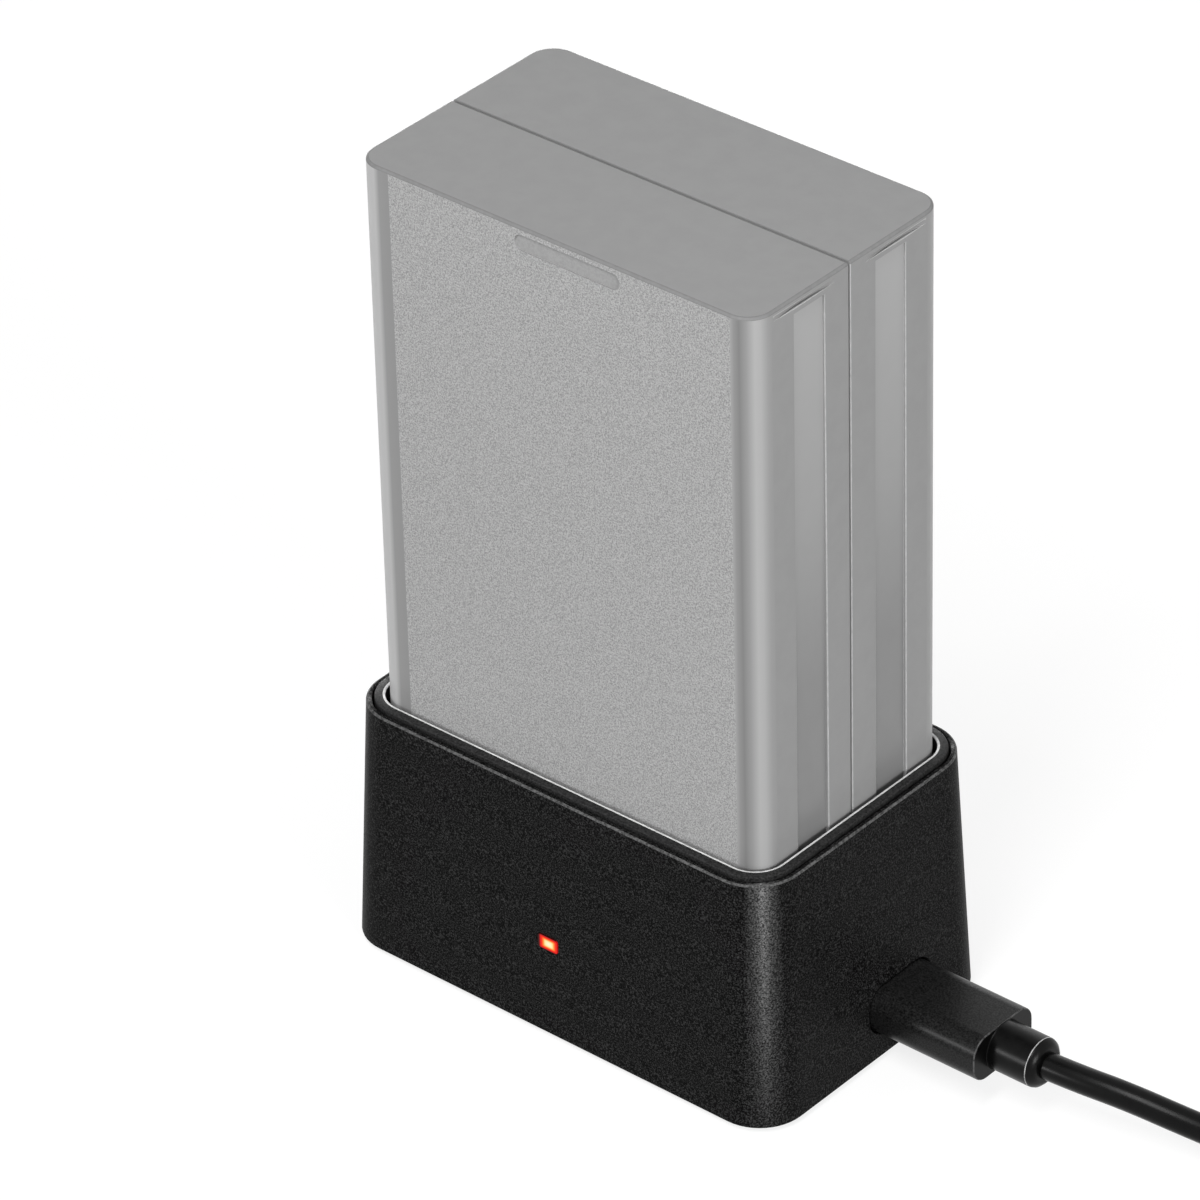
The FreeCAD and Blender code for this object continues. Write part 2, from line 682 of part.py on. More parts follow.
def half_plan(sketch, plan, side):
    """Half of a rounded outline, on one side of the seam."""
    width, depth, radius = plan
    half, reach, r = width.number / 2, side * depth.number / 2, radius.number
    inner = reach - side * r
    up = FreeCAD.Vector(0, 0, 1)

    def at(x, y):
        return FreeCAD.Vector(x, y, 0)

    seam = sketch.addGeometry(Part.LineSegment(at(-half, 0), at(half, 0)), False)
    right = sketch.addGeometry(Part.LineSegment(at(half, 0), at(half, inner)), False)
    face = sketch.addGeometry(Part.LineSegment(at(half - r, reach), at(r - half, reach)), False)
    left = sketch.addGeometry(Part.LineSegment(at(-half, inner), at(-half, 0)), False)
    turns = [(-math.pi / 2, 0), (math.pi, 1.5 * math.pi)]
    if side > 0:
        turns = [(0, math.pi / 2), (math.pi / 2, math.pi)]
    corners = []
    for x, (start, stop) in zip((half - r, r - half), turns):
        corners.append(
            sketch.addGeometry(Part.ArcOfCircle(Part.Circle(at(x, inner), up, r), start, stop), False)
        )
    near_right, near_face = (2, 1) if side < 0 else (1, 2)
    sketch.addConstraint(Sketcher.Constraint("Coincident", seam, 2, right, 1))
    sketch.addConstraint(Sketcher.Constraint("Tangent", right, 2, corners[0], near_right))
    sketch.addConstraint(Sketcher.Constraint("Tangent", corners[0], near_face, face, 1))
    sketch.addConstraint(Sketcher.Constraint("Tangent", face, 2, corners[1], near_right))
    sketch.addConstraint(Sketcher.Constraint("Tangent", corners[1], near_face, left, 1))
    sketch.addConstraint(Sketcher.Constraint("Coincident", left, 2, seam, 1))
    sketch.addConstraint(Sketcher.Constraint("Horizontal", face))
    sketch.addConstraint(Sketcher.Constraint("Vertical", right))
    sketch.addConstraint(Sketcher.Constraint("Vertical", left))
    sketch.addConstraint(Sketcher.Constraint("Equal", *corners))
    sketch.addConstraint(Sketcher.Constraint("Symmetric", seam, 1, seam, 2, -1, 1))
    dimension(sketch, Sketcher.Constraint("Radius", corners[0], r), radius)
    dimension(sketch, Sketcher.Constraint("DistanceX", seam, 1, seam, 2, 2 * half), width)
    if side < 0:
        dimension(sketch, Sketcher.Constraint("DistanceY", face, 1, -1, 1, -reach), depth / 2)
    else:
        dimension(sketch, Sketcher.Constraint("DistanceY", -1, 1, face, 1, reach), depth / 2)


shell_inner = grown(battery_plan, -size.battery_wall)
terminal_hole = (
    size.terminal_width + 2 * size.terminal_clearance,
    size.terminal_length + 2 * size.terminal_clearance,
)
for label, side in (("battery_front_shell", -1), ("battery_rear_shell", 1)):
    half_shell = piece("PartDesign::Body", label)
    outline = sketch_on(half_shell, "outline", "XY_Plane", well_floor)
    half_plan(outline, battery_plan, side)
    pad(half_shell, outline, size.battery_height)
    soften(half_shell, "Chamfer", lambda p: near(p.z, battery_top), size.battery_edge)
    hollow = sketch_on(half_shell, "hollow", "XY_Plane", battery_top - size.battery_wall)
    half_plan(hollow, shell_inner, side)
    pocket(half_shell, hollow, size.battery_height - 2 * size.battery_wall)
    # The seam shows as a fine groove round the outside.
    seam = sketch_on(half_shell, "seam", "XZ_Plane", ZERO, ZERO, well_floor + size.battery_height / 2)
    rectangle(seam, size.battery_width * 2, size.battery_height * 2)
    rectangle(seam, size.battery_width - 2 * size.seam_depth, size.battery_height - 2 * size.seam_depth)
    pocket(half_shell, seam, size.seam_width / 2, reverse=side < 0)
    # Sunk strips run down both narrow sides, with a finger groove under the top edge above each.
    strips = sketch_on(half_shell, "strips", "XY_Plane", well_floor)
    grooves = sketch_on(half_shell, "grooves", "XY_Plane", battery_top - size.finger_groove_drop)
    strip_y = (size.strip_from_seam + size.strip_width / 2) * side
    groove_length = half_depth - size.battery_corner - size.finger_groove_from_seam
    groove_y = (size.finger_groove_from_seam + groove_length / 2) * side
    for end in (-1, 1):
        rectangle(strips, 2 * size.strip_depth, size.strip_width, size.battery_width * end / 2, strip_y)
        groove_x = size.battery_width * end / 2
        rectangle(grooves, 2 * size.finger_groove_depth, groove_length, groove_x, groove_y)
    pocket(half_shell, strips, size.battery_height - size.strip_drop, reverse=True)
    pocket(half_shell, grooves, size.finger_groove_height)
    if side < 0:
        # A fingernail slot under the top edge of the front face lifts the pack out.
        slot_level = battery_top - size.nail_slot_drop - size.nail_slot_height / 2
        nail_slot = sketch_on(half_shell, "nail_slot", "XZ_Plane", half_depth, size.nail_slot_offset, slot_level)
        slot_end = size.nail_slot_height / 2 - size.contact_slot_clearance
        rounded_rectangle(nail_slot, size.nail_slot_length, size.nail_slot_height, slot_end)
        pocket(half_shell, nail_slot, size.nail_slot_depth)
    else:
        # Windows in the bottom let the dock's contacts reach the terminals.
        windows = sketch_on(half_shell, "windows", "XY_Plane", well_floor)
        for x in contact_places:
            rectangle(windows, *terminal_hole, x, contact_row)
        pocket(half_shell, windows, size.battery_wall, reverse=True)

# Inside the pack: terminals, protection board, cell holder, two cells, their link and a foam pad.
pack_floor = well_floor + size.battery_wall
terminal = (size.terminal_width, size.terminal_length, size.battery_wall - size.terminal_recess)
for number, x in enumerate(contact_places, start=1):
    box(f"battery_terminal_{number}", *terminal, x, contact_row, terminal_face)
protection_width = shell_inner[0] - 2 * size.protection_board_margin
protection_depth = shell_inner[1] - 2 * size.protection_board_margin
protection = (protection_width, protection_depth, size.protection_board_thickness)
box("protection_board", *protection, ZERO, ZERO, pack_floor)
holder_under = pack_floor + size.protection_board_thickness
cell_under = holder_under + size.holder_floor
pad_under = battery_top - size.battery_wall - size.cell_pad_thickness
cell_top = pad_under - size.link_thickness
cell_places = [(size.cell_diameter + size.cell_gap) * side / 2 for side in (-1, 1)]
holder = piece("PartDesign::Body", "cell_holder")
holder_outline = sketch_on(holder, "outline", "XY_Plane", holder_under)
rounded_rectangle(holder_outline, *grown(shell_inner, -size.holder_clearance))
pad(holder, holder_outline, size.holder_height)
for number, x in enumerate(cell_places, start=1):
    cup = sketch_on(holder, f"cup_{number}", "XY_Plane", holder_under + size.holder_height)
    circle(cup, size.cell_diameter + 2 * size.cell_clearance, x)
    pocket(holder, cup, size.holder_height - size.holder_floor)
for number, x in enumerate(cell_places, start=1):
    cell = piece("Part::Cylinder", f"battery_cell_{number}")
    bind(cell, Radius=size.cell_diameter / 2, Height=cell_top - cell_under)
    place(cell, x, ZERO, cell_under)
link_length = 2 * size.cell_diameter + size.cell_gap - 2 * size.link_margin
box("cell_link", link_length, size.link_width, size.link_thickness, ZERO, ZERO, cell_top)
pad_size = (link_length, size.cell_diameter, size.cell_pad_thickness)
box("cell_pad", *pad_size, ZERO, ZERO, pad_under)

# Cord: a tube from the plug's sleeve down to the desk, along the points of its route.
cord_radius = size.cord_diameter.number / 2
exit_point = FreeCAD.Vector(cord_start.number, size.plug_offset.number, plug_axis.number)
# Each point: distance out from the sleeve, distance sideways, and share of the sleeve's height that is left.
CORD_ROUTE = [
    (0.0, 0.0, 1.0),
    (5.5, 0.0, 1.0),
    (11.5, 1.8, 0.84),
    (17.5, 4.1, 0.54),
    (23.7, 7.5, 0.17),
    (30.4, 11.3, 0.0),
    (37.6, 13.15, 0.0),
    (44.6, 13.15, 0.0),
]
cord_rise = plug_axis.number - cord_radius
route = [
    FreeCAD.Vector(exit_point.x + out, exit_point.y + aside, cord_radius + share * cord_rise)
    for out, aside, share in CORD_ROUTE
]


def rounded_path(points):
    """Straight runs joined by tangent arcs that are as large as their runs allow."""
    edges = []
    last = points[0]
    for before, corner, after in zip(points, points[1:], points[2:]):
        back, ahead = (before - corner), (after - corner)
        shorter = min(back.Length, ahead.Length)
        turn = math.pi - back.getAngle(ahead)
        reach = 0.45 * shorter
        radius = reach / math.tan(turn / 2)
        back.normalize()
        ahead.normalize()
        begin, end = corner + back * reach, corner + ahead * reach
        bisector = back + ahead
        bisector.normalize()
        depth = math.hypot(radius, reach) - radius
        edges.append(Part.LineSegment(last, begin).toShape())
        edges.append(Part.Arc(begin, corner + bisector * depth, end).toShape())
        print(f"cord radius {radius:.1f} mm, turn {math.degrees(turn):.1f} degrees")
        last = end
    edges.append(Part.LineSegment(last, points[-1]).toShape())
    return Part.Wire(edges)


path = rounded_path(route)
section = Part.Wire(Part.makeCircle(cord_radius, route[0], route[1] - route[0]))
cord = piece("Part::Feature", "usb_cord")
cord.Shape = path.makePipeShell([section], True, False)
cord.Placement = FreeCAD.Placement()
tube_ratio = cord.Shape.Volume / (math.pi * cord_radius**2 * path.Length)
print(f"cord tube {path.Length:.1f} mm, volume over section times length {tube_ratio:.4f}")
if abs(tube_ratio - 1) > 0.01:
    raise RuntimeError("the cord's tube does not follow its path")

# Coil: the outer shape of three turns by two, with the lead in and the lead out along one tangent.
coil_in = route[-1]
coil_lead = size.coil_lead.number
coil_radius = size.coil_radius.number
bundle_width = 3 * size.cord_diameter.number
bundle_height = 2 * size.cord_diameter.number
outer_turn = coil_radius + size.cord_diameter.number
coil_centre = FreeCAD.Vector(coil_in.x + coil_lead, coil_in.y - outer_turn, 0)
lead_out_level = size.a_body_thickness / 2
UP = FreeCAD.Vector(0, 0, 1)
OUT = FreeCAD.Vector(1, 0, 0)


def bundle(width, low, high, corner, angle):
    """A bevelled section of the bundle of turns, swept round the coil's axis by an angle."""
    left = coil_centre.x + coil_radius - width / 2
    block = Part.makeBox(width, 1, high - low, FreeCAD.Vector(left, coil_centre.y, low))
    block = block.makeChamfer(corner, [e for e in block.Edges if e.BoundBox.YLength > 0.5])
    face = next(f for f in block.Faces if near(f.CenterOfMass.y, Size.of(coil_centre.y)) and f.Area > width)
    return face.revolve(coil_centre, UP, angle)


ring = bundle(bundle_width, 0, bundle_height, cord_radius, 360)
lead_in = Part.makeCylinder(cord_radius, coil_lead, coil_in, OUT)
lead_out_start = FreeCAD.Vector(coil_centre.x, coil_in.y, lead_out_level.number)
lead_out = Part.makeCylinder(cord_radius, coil_lead, lead_out_start, OUT)

# Tie: a soft band that squeezes the bundle a little.
tie_band = size.tie_thickness.number
tie_proud = size.tie_proud.number
tie_angle = math.degrees(size.tie_width.number / coil_radius)
tie_outer = bundle(bundle_width + 2 * tie_proud, 0, bundle_height + tie_proud, cord_radius, tie_angle)
tie_grip = bundle(
    bundle_width + 2 * (tie_proud - tie_band),
    tie_band,
    bundle_height + tie_proud - tie_band,
    cord_radius - tie_band / 2,
    tie_angle,
)
tie_shape = tie_outer.cut(tie_grip)
coil_shape = ring.fuse([lead_in, lead_out]).cut(tie_shape).removeSplitter()
for label, shape in (("cord_coil", coil_shape), ("cable_tie", tie_shape)):
    soft = piece("Part::Feature", label)
    soft.Shape = shape.Solids[0]
    soft.Placement = FreeCAD.Placement()

# USB-A plug at the far end: moulded body and sleeve, metal shell, insulator and four contacts.
a_start = cord_start + CORD_ROUTE[-1][0] + 2 * size.coil_lead
a_side = size.plug_offset + CORD_ROUTE[-1][1]
a_back = a_start + size.sleeve_length
a_face = a_back + size.a_body_length
a_tip = a_face + size.a_shell_length
a_axis = (a_side, lead_out_level)
a_body = piece("PartDesign::Body", "a_plug_body")
a_outline = sketch_on(a_body, "outline", "YZ_Plane", a_back, *a_axis)
rounded_rectangle(a_outline, size.a_body_width, size.a_body_thickness, size.a_body_corner)
pad(a_body, a_outline, size.a_body_length)
soften(a_body, "Chamfer", lambda p: near(p.x, a_back) or near(p.x, a_face), size.plug_edge)
a_sleeve = sketch_on(a_body, "sleeve", "YZ_Plane", a_back, *a_axis)
circle(a_sleeve, size.a_sleeve_diameter)
pad(a_body, a_sleeve, size.sleeve_length, reverse=True)
soften(a_body, "Chamfer", lambda p: near(p.x, a_start), size.sleeve_chamfer)
a_shell = piece("PartDesign::Body", "a_plug_shell")
a_shell_plan = (size.a_shell_width, size.a_shell_height, size.a_shell_corner)
a_shell_outline = sketch_on(a_shell, "outline", "YZ_Plane", a_face, *a_axis)
rounded_rectangle(a_shell_outline, *a_shell_plan)
pad(a_shell, a_shell_outline, size.a_shell_length)
a_mouth = sketch_on(a_shell, "mouth", "YZ_Plane", a_tip, *a_axis)
rounded_rectangle(a_mouth, *grown(a_shell_plan, -size.a_shell_wall))
pocket(a_shell, a_mouth, size.a_shell_length)
a_top = lead_out_level + size.a_shell_height / 2
a_windows = sketch_on(a_shell, "windows", "XY_Plane", a_top, a_face + size.a_window_from_body, a_side)
for side in (-1, 1):
    rectangle(a_windows, size.a_window_length, size.a_window_width, ZERO, size.a_window_spacing * side / 2)
pocket(a_shell, a_windows, size.a_shell_wall)
a_under = lead_out_level - size.a_shell_height / 2 + size.a_shell_wall
a_insulator_length = size.a_shell_length - size.a_insulator_setback
a_insulator = (
    a_insulator_length,
    size.a_shell_width - 2 * size.a_shell_wall - 4 * size.a_fit,
    size.a_insulator_height,
)
box("a_plug_insulator", *a_insulator, a_face + a_insulator_length / 2, a_side, a_under)
a_contact = (size.a_contact_length, size.a_contact_width, size.a_contact_thickness)
a_contact_x = a_face + a_insulator_length / 2
for number, step in enumerate((-1.5, -0.5, 0.5, 1.5), start=1):
    contact_y = a_side + size.a_contact_pitch * step
    box(f"a_plug_contact_{number}", *a_contact, a_contact_x, contact_y, a_under + size.a_insulator_height)

doc.recompute()

# Nothing is written unless every object came out whole and every pocket cut something.
for made in doc.Objects:
    if "Invalid" in made.State or "Error" in made.State:
        raise RuntimeError(f"{made.Label} failed: {made.State}")
    if made.TypeId == "PartDesign::Pocket" and made.Shape.Volume >= made.BaseFeature.Shape.Volume:
        raise RuntimeError(f"{made.Label} cuts nothing")
os.makedirs("parts", exist_ok=True)
for made in pieces:
    if made.Shape.isNull() or not made.Shape.isValid():
        raise RuntimeError(f"{made.Label} has no valid shape")
    made.Shape.exportStep(f"parts/{made.Label}.step")
print(f"{len(pieces)} sub-parts")
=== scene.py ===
import math

import bmesh
import bpy
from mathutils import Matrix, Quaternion, Vector


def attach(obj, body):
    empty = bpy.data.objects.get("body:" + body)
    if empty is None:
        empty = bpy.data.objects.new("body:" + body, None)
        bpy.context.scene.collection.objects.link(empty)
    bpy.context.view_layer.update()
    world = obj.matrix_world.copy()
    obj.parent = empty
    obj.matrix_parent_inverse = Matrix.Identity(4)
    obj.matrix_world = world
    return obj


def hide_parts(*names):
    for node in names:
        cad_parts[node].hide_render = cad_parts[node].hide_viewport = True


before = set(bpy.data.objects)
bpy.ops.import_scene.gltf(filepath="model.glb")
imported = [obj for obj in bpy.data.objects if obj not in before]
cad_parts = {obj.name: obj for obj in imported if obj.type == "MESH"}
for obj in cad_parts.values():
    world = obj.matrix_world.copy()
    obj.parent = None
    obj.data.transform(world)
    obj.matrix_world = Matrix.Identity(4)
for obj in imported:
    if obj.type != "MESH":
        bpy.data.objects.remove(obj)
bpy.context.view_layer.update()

# Base plate: a flat black ABS moulding that closes the dock from below, with a fine moulded grain.
# It drops into the housing's rebate and is drawn up by the four case screws.
MM = 0.001
COLOUR_SPAN = (0.36, 0.64)
GLOSS_SPAN = (0.3, 0.7)


def linear(colour):
    """A hex sRGB colour as the linear colour that a shader takes."""
    channels = [int(colour[i:i + 2], 16) / 255 for i in (1, 3, 5)]
    return (*(c / 12.92 if c <= 0.04045 else ((c + 0.055) / 1.055) ** 2.4 for c in channels), 1.0)


def add(tree, kind, links=None, values=None, ramp=None, **settings):
    """Adds one shader node with its settings, socket values, ramp colours and links."""
    made = tree.nodes.new(kind)
    for name, setting in settings.items():
        setattr(made, name, setting)
    for name, value in (values or {}).items():
        made.inputs[name].default_value = value
    if ramp:
        stops = made.color_ramp.elements
        while len(stops) < len(ramp):
            stops.new(1.0)
        for stop, (position, colour) in zip(stops, ramp):
            stop.position = position
            stop.color = linear(colour)
    for name, source in (links or {}).items():
        tree.links.new(source, made.inputs[name])
    return made


def surface(name, colours, grit, relief=0.0, roughness=0.5, spread=0.06, stretch=(1, 1, 1),
            **values):
    """A material with a grain of a size and a relief in mm.

    Its colours are a pair that the grain runs between, or a function that lays out their nodes.
    """
    made = bpy.data.materials.new(name)
    made.use_nodes = True
    tree = made.node_tree
    shader = tree.nodes["Principled BSDF"]
    for socket, value in values.items():
        shader.inputs[socket.replace("_", " ")].default_value = value
    place = add(tree, "ShaderNodeTexCoord").outputs["Object"]
    laid = add(tree, "ShaderNodeMapping", {"Vector": place}, {"Scale": stretch}).outputs["Vector"]
    grain = add(tree, "ShaderNodeTexNoise", {"Vector": laid},
                {"Scale": 1 / (grit * MM), "Detail": 2.0, "Roughness": 0.6}).outputs["Fac"]
    if callable(colours):
        tone = colours(tree, place, grain)
    else:
        tone = add(tree, "ShaderNodeValToRGB", {"Fac": grain},
                   ramp=list(zip(COLOUR_SPAN, colours))).outputs["Color"]
    gloss = add(tree, "ShaderNodeMapRange", {"Value": grain}, {
        "From Min": GLOSS_SPAN[0], "From Max": GLOSS_SPAN[1],
        "To Min": roughness - spread, "To Max": roughness + spread}).outputs["Result"]
    tree.links.new(tone, shader.inputs["Base Color"])
    tree.links.new(gloss, shader.inputs["Roughness"])
    if relief:
        bump = add(tree, "ShaderNodeBump", {"Height": grain}, {"Distance": relief * MM})
        tree.links.new(bump.outputs["Normal"], shader.inputs["Normal"])
    return made


def dress(finish, *nodes):
    """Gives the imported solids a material."""
    for name in nodes:
        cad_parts[name].data.materials.clear()
        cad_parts[name].data.materials.append(finish)


base_abs = surface("fine_grained_black_abs", ("#0d0d0d", "#161616"), grit=0.35, relief=0.03,
                   roughness=0.55, Specular_IOR_Level=0.3)
dress(base_abs, "base_plate")

# Feet: four discs of black rubber, die cut and stuck in shallow recesses of the base plate.
# Rubber is dull and even, with only a faint cloud of talc in its surface.
foot_rubber = surface("die_cut_black_rubber", ("#141414", "#1f1f1f"), grit=0.9, relief=0.015,
                      roughness=0.8, Specular_IOR_Level=0.25)
dress(foot_rubber, "rubber_foot_1", "rubber_foot_2", "rubber_foot_3", "rubber_foot_4")

# Case screws: four self-tapping pan heads, zinc plated, sunk below the feet's level.
# Zinc plate is a cool bright grey, with a soft mottle from the plating bath.
zinc = surface("zinc_plated_steel", ("#9a9ea3", "#c3c6ca"), grit=0.5, relief=0.004, roughness=0.34,
               Metallic=1.0)
dress(zinc, "case_screws")

# Circuit board: glass epoxy laminate under a green solder mask, on the base plate's standoffs.
# The glass weave shows through the mask as a fine mottle.
solder_mask = surface("green_solder_mask", ("#0c3d22", "#14532f"), grit=0.6, relief=0.006,
                      roughness=0.36, Coat_Weight=0.3)
dress(solder_mask, "circuit_board", "protection_board")

# Parts on the board: a moulded epoxy chip, a ferrite inductor and two ceramic capacitors.
# Each is a dry, slightly porous block, soldered down by its ends.
chip_epoxy = surface("moulded_chip_epoxy", ("#161618", "#222225"), grit=0.12, relief=0.004,
                     roughness=0.62)
ferrite = surface("pressed_ferrite", ("#2c2d30", "#3c3d41"), grit=0.2, relief=0.01, roughness=0.7)
ceramic = surface("fired_tan_ceramic", ("#9c8262", "#b59a78"), grit=0.25, relief=0.004,
                  roughness=0.45)
dress(chip_epoxy, "charge_controller")
dress(ferrite, "power_inductor")
dress(ceramic, "input_capacitor", "output_capacitor")

# USB socket: a shell folded from nickel-plated sheet round a black moulded tongue.
# The plate is bright, with faint rolling lines along the sheet.
nickel = surface("rolled_nickel_plate", ("#c2c4c7", "#cacbce"), grit=0.5, roughness=0.15,
                 spread=0.02, stretch=(0.12, 1, 1), Metallic=1.0)
glass_filled = surface("black_glass_filled_nylon", ("#101010", "#1d1d1d"), grit=0.3, relief=0.006,
                       roughness=0.5)
dress(nickel, "usb_socket_shell", "micro_plug_shell", "cell_link")
dress(glass_filled, "usb_socket_tongue", "micro_plug_insulator", "contact_block", "cell_holder")

# Outer housing: the tapered body of the dock, moulded in black ABS against a spark-eroded tool.
# Its grain breaks the light into specks; a painted highlight runs down its corners and along its
# top edge.
# The grain is drawn a little coarser than the real one, as coarse as it needs to show.
housing_half = (28.65, 18.15)
housing_low, housing_high = 0.5, 29.3
housing_taper, housing_corner, housing_lip = 1.1, 5.3, 0.6
top_edge, lip_edge, foot_edge, opening_edge = 0.2, 0.1, 0.3, 0.12
rebate_depth = 2.0
plug_side, plug_axis = 3.4, 6.15
plug_opening_half, plug_opening_corner = (5.0, 2.9), 2.35
plug_opening_ends = (24.0, 31.0)
window_side, window_level = -0.3, 11.55
window_half, window_corner = (1.35, 0.9), 0.45
window_ends = (-21.0, -14.0)
CORNER_STEPS = 12
SMOOTH_ANGLE = math.radians(40)
NEAR, NEAR_PLAN = 0.01, 0.03


def block(name, low, high, *finishes):
    """A cube primitive between two corners in mm, alone in the selection, with its materials."""
    if bpy.context.object and bpy.context.object.mode == "EDIT":
        bpy.ops.object.mode_set(mode="OBJECT")
    bpy.ops.object.select_all(action="DESELECT")
    bpy.ops.mesh.primitive_cube_add(size=1)
    piece = bpy.context.object
    piece.name = name
    piece.data.name = name
    piece.scale = [(b - a) * MM for a, b in zip(low, high)]
    piece.location = [(a + b) / 2 * MM for a, b in zip(low, high)]
    bpy.ops.object.transform_apply(location=True, rotation=True, scale=True)
    for finish in finishes:
        piece.data.materials.append(finish)
    return piece


def select(piece, kind, test):
    """In edit mode, selects the corners, edges or faces whose points, in mm, pass a test."""
    bpy.ops.object.mode_set(mode="EDIT")
    bpy.ops.mesh.select_mode(type=kind)
    bpy.ops.mesh.select_all(action="DESELECT")
    mesh = bmesh.from_edit_mesh(piece.data)
    for part in {"VERT": mesh.verts, "EDGE": mesh.edges, "FACE": mesh.faces}[kind]:
        corners = [part] if kind == "VERT" else part.verts
        part.select_set(test([corner.co / MM for corner in corners]))
    mesh.select_flush_mode()
    bmesh.update_edit_mesh(piece.data)


def along(axis, slack=1e-4):
    """A test for edges that run along one axis."""
    return lambda p: (p[0] - p[1]).length - abs(p[0][axis] - p[1][axis]) < slack


def level(axis, value, slack=1e-3):
    """A test for corners, edges and faces that lie at one level of an axis."""
    return lambda p: all(abs(point[axis] - value) < slack for point in p)


def off_plan(point, half, corner):
    """How far a point lies outside a rounded rectangle, from its half sides and its corner."""
    over = [abs(point[i]) - half[i] + corner for i in (0, 1)]
    return math.hypot(max(over[0], 0), max(over[1], 0)) + min(max(over), 0) - corner


def on_plan(half, corner, height):
    """A test for edges that lie on a rounded rectangle at one height."""
    return lambda p: level(2, height)(p) and all(
        abs(off_plan(point, half, corner)) < NEAR_PLAN for point in p)


def bevel(width, segments, finish=-1):
    """Rounds the selected edges by a width in mm."""
    bpy.ops.mesh.bevel(offset=width * MM, segments=segments, affect="EDGES", material=finish)


def paint(piece, finish):
    """Gives the selected faces one of the piece's materials."""
    piece.active_material_index = finish
    bpy.ops.object.material_slot_assign()


def pick(piece):
    """Leaves edit mode with one piece selected."""
    bpy.ops.object.mode_set(mode="OBJECT")
    bpy.ops.object.select_all(action="DESELECT")
    bpy.context.view_layer.objects.active = piece
    piece.select_set(True)


def cut(piece, cutter):
    """Takes a cutter out of a piece, and then away."""
    pick(piece)
    opening = piece.modifiers.new("opening", "BOOLEAN")
    opening.object = cutter
    bpy.ops.object.modifier_apply(modifier=opening.name)
    bpy.data.objects.remove(cutter)


def finish_edges(piece, width, slot, *nodes, angle=50, finish=-1):
    """Rounds what is still sharp, keeps flats flat, and puts the piece in its node's place."""
    pick(piece)
    if width:
        rounding = piece.modifiers.new("rounding", "BEVEL")
        rounding.width = width * MM
        rounding.segments = 2
        rounding.limit_method = "ANGLE"
        rounding.angle_limit = math.radians(angle)
        rounding.material = finish
        bpy.ops.object.modifier_apply(modifier=rounding.name)
    bpy.ops.object.shade_smooth_by_angle(angle=SMOOTH_ANGLE)
    flats = piece.modifiers.new("flats", "WEIGHTED_NORMAL")
    flats.keep_sharp = True
    bpy.ops.object.modifier_apply(modifier=flats.name)
    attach(piece, "root")
    if nodes:
        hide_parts(*nodes)


def round_corner(tree, place, middle):
    """How far round a corner a point lies: 0 at the broad face's end, 1 at the narrow side's."""
    axes = add(tree, "ShaderNodeSeparateXYZ", {"Vector": place})
    reach = []
    for axis, start in zip("XY", middle):
        apart = add(tree, "ShaderNodeMath", {0: axes.outputs[axis]}, operation="ABSOLUTE")
        past = add(tree, "ShaderNodeMath", {0: apart.outputs["Value"]}, {1: start * MM},
                   operation="SUBTRACT")
        reach.append(past.outputs["Value"])
    angle = add(tree, "ShaderNodeMath", {0: reach[0], 1: reach[1]}, operation="ARCTAN2")
    return add(tree, "ShaderNodeMath", {0: angle.outputs["Value"]}, {1: math.pi / 2},
               operation="DIVIDE").outputs["Value"]


def specks_and_highlight(tree, place, grain):
    """Scatters specks over the black, and paints a highlight down all four corners, brighter at the
    top.
    """
    black = add(tree, "ShaderNodeValToRGB", {"Fac": grain},
                ramp=[(0.46, "#080808"), (0.8, "#484848")]).outputs["Color"]
    specks = add(tree, "ShaderNodeValToRGB", {"Fac": grain},
                 ramp=[(0.36, "#303030"), (0.66, "#909090")]).outputs["Color"]
    middle = [half - housing_taper / 2 - housing_corner for half in housing_half]
    # A painted highlight down the middle of each corner, fading towards the bottom.
    band = add(tree, "ShaderNodeValToRGB", {"Fac": round_corner(tree, place, middle)}, ramp=[
        (0.26, "#000000"), (0.42, "#a8a8a8"), (0.52, "#ffffff"), (0.62, "#a8a8a8"),
        (0.78, "#000000")]).outputs["Color"]
    height = add(tree, "ShaderNodeSeparateXYZ", {"Vector": place}).outputs["Z"]
    fade = add(tree, "ShaderNodeMapRange", {"Value": height}, {
        "From Min": housing_low * MM, "From Max": housing_high * MM,
        "To Min": 0.1, "To Max": 1.0}).outputs["Result"]
    corner_highlight = add(tree, "ShaderNodeMath", {0: band, 1: fade}, operation="MULTIPLY").outputs["Value"]
    # In a colour mix, socket 0 is the factor, 6 and 7 are the colours, and 2 is the result.
    return add(tree, "ShaderNodeMix", {0: corner_highlight, 6: black, 7: specks}, data_type="RGBA").outputs[2]


spark_abs = surface("spark_eroded_black_abs", specks_and_highlight, grit=0.17, relief=0.04, roughness=0.44,
                    Specular_IOR_Level=0.018)
highlight_edge = surface("painted_highlight_black_abs_edge", ("#303030", "#646464"), grit=0.3, roughness=0.4,
                      Specular_IOR_Level=0.12)
housing = block("dock_housing", (-housing_half[0], -housing_half[1], housing_low),
                (*housing_half, housing_high), spark_abs, highlight_edge)
select(housing, "EDGE", along(2))
bevel(housing_corner, CORNER_STEPS)
for side_x in (-1, 1):
    for side_y in (-1, 1):
        select(housing, "VERT", lambda p: level(2, housing_high)(p)
               and p[0].x * side_x > 0 and p[0].y * side_y > 0)
        bpy.ops.transform.translate(
            value=(-side_x * housing_taper * MM, -side_y * housing_taper * MM, 0))
top_half = [half - housing_taper for half in housing_half]
lip_half = [half - housing_lip for half in top_half]
lip_corner = housing_corner - housing_lip
select(housing, "FACE", level(2, housing_high))
bpy.ops.mesh.inset(thickness=housing_lip * MM)
select(housing, "FACE", level(2, housing_low))
bpy.ops.mesh.inset(thickness=housing_taper * MM)
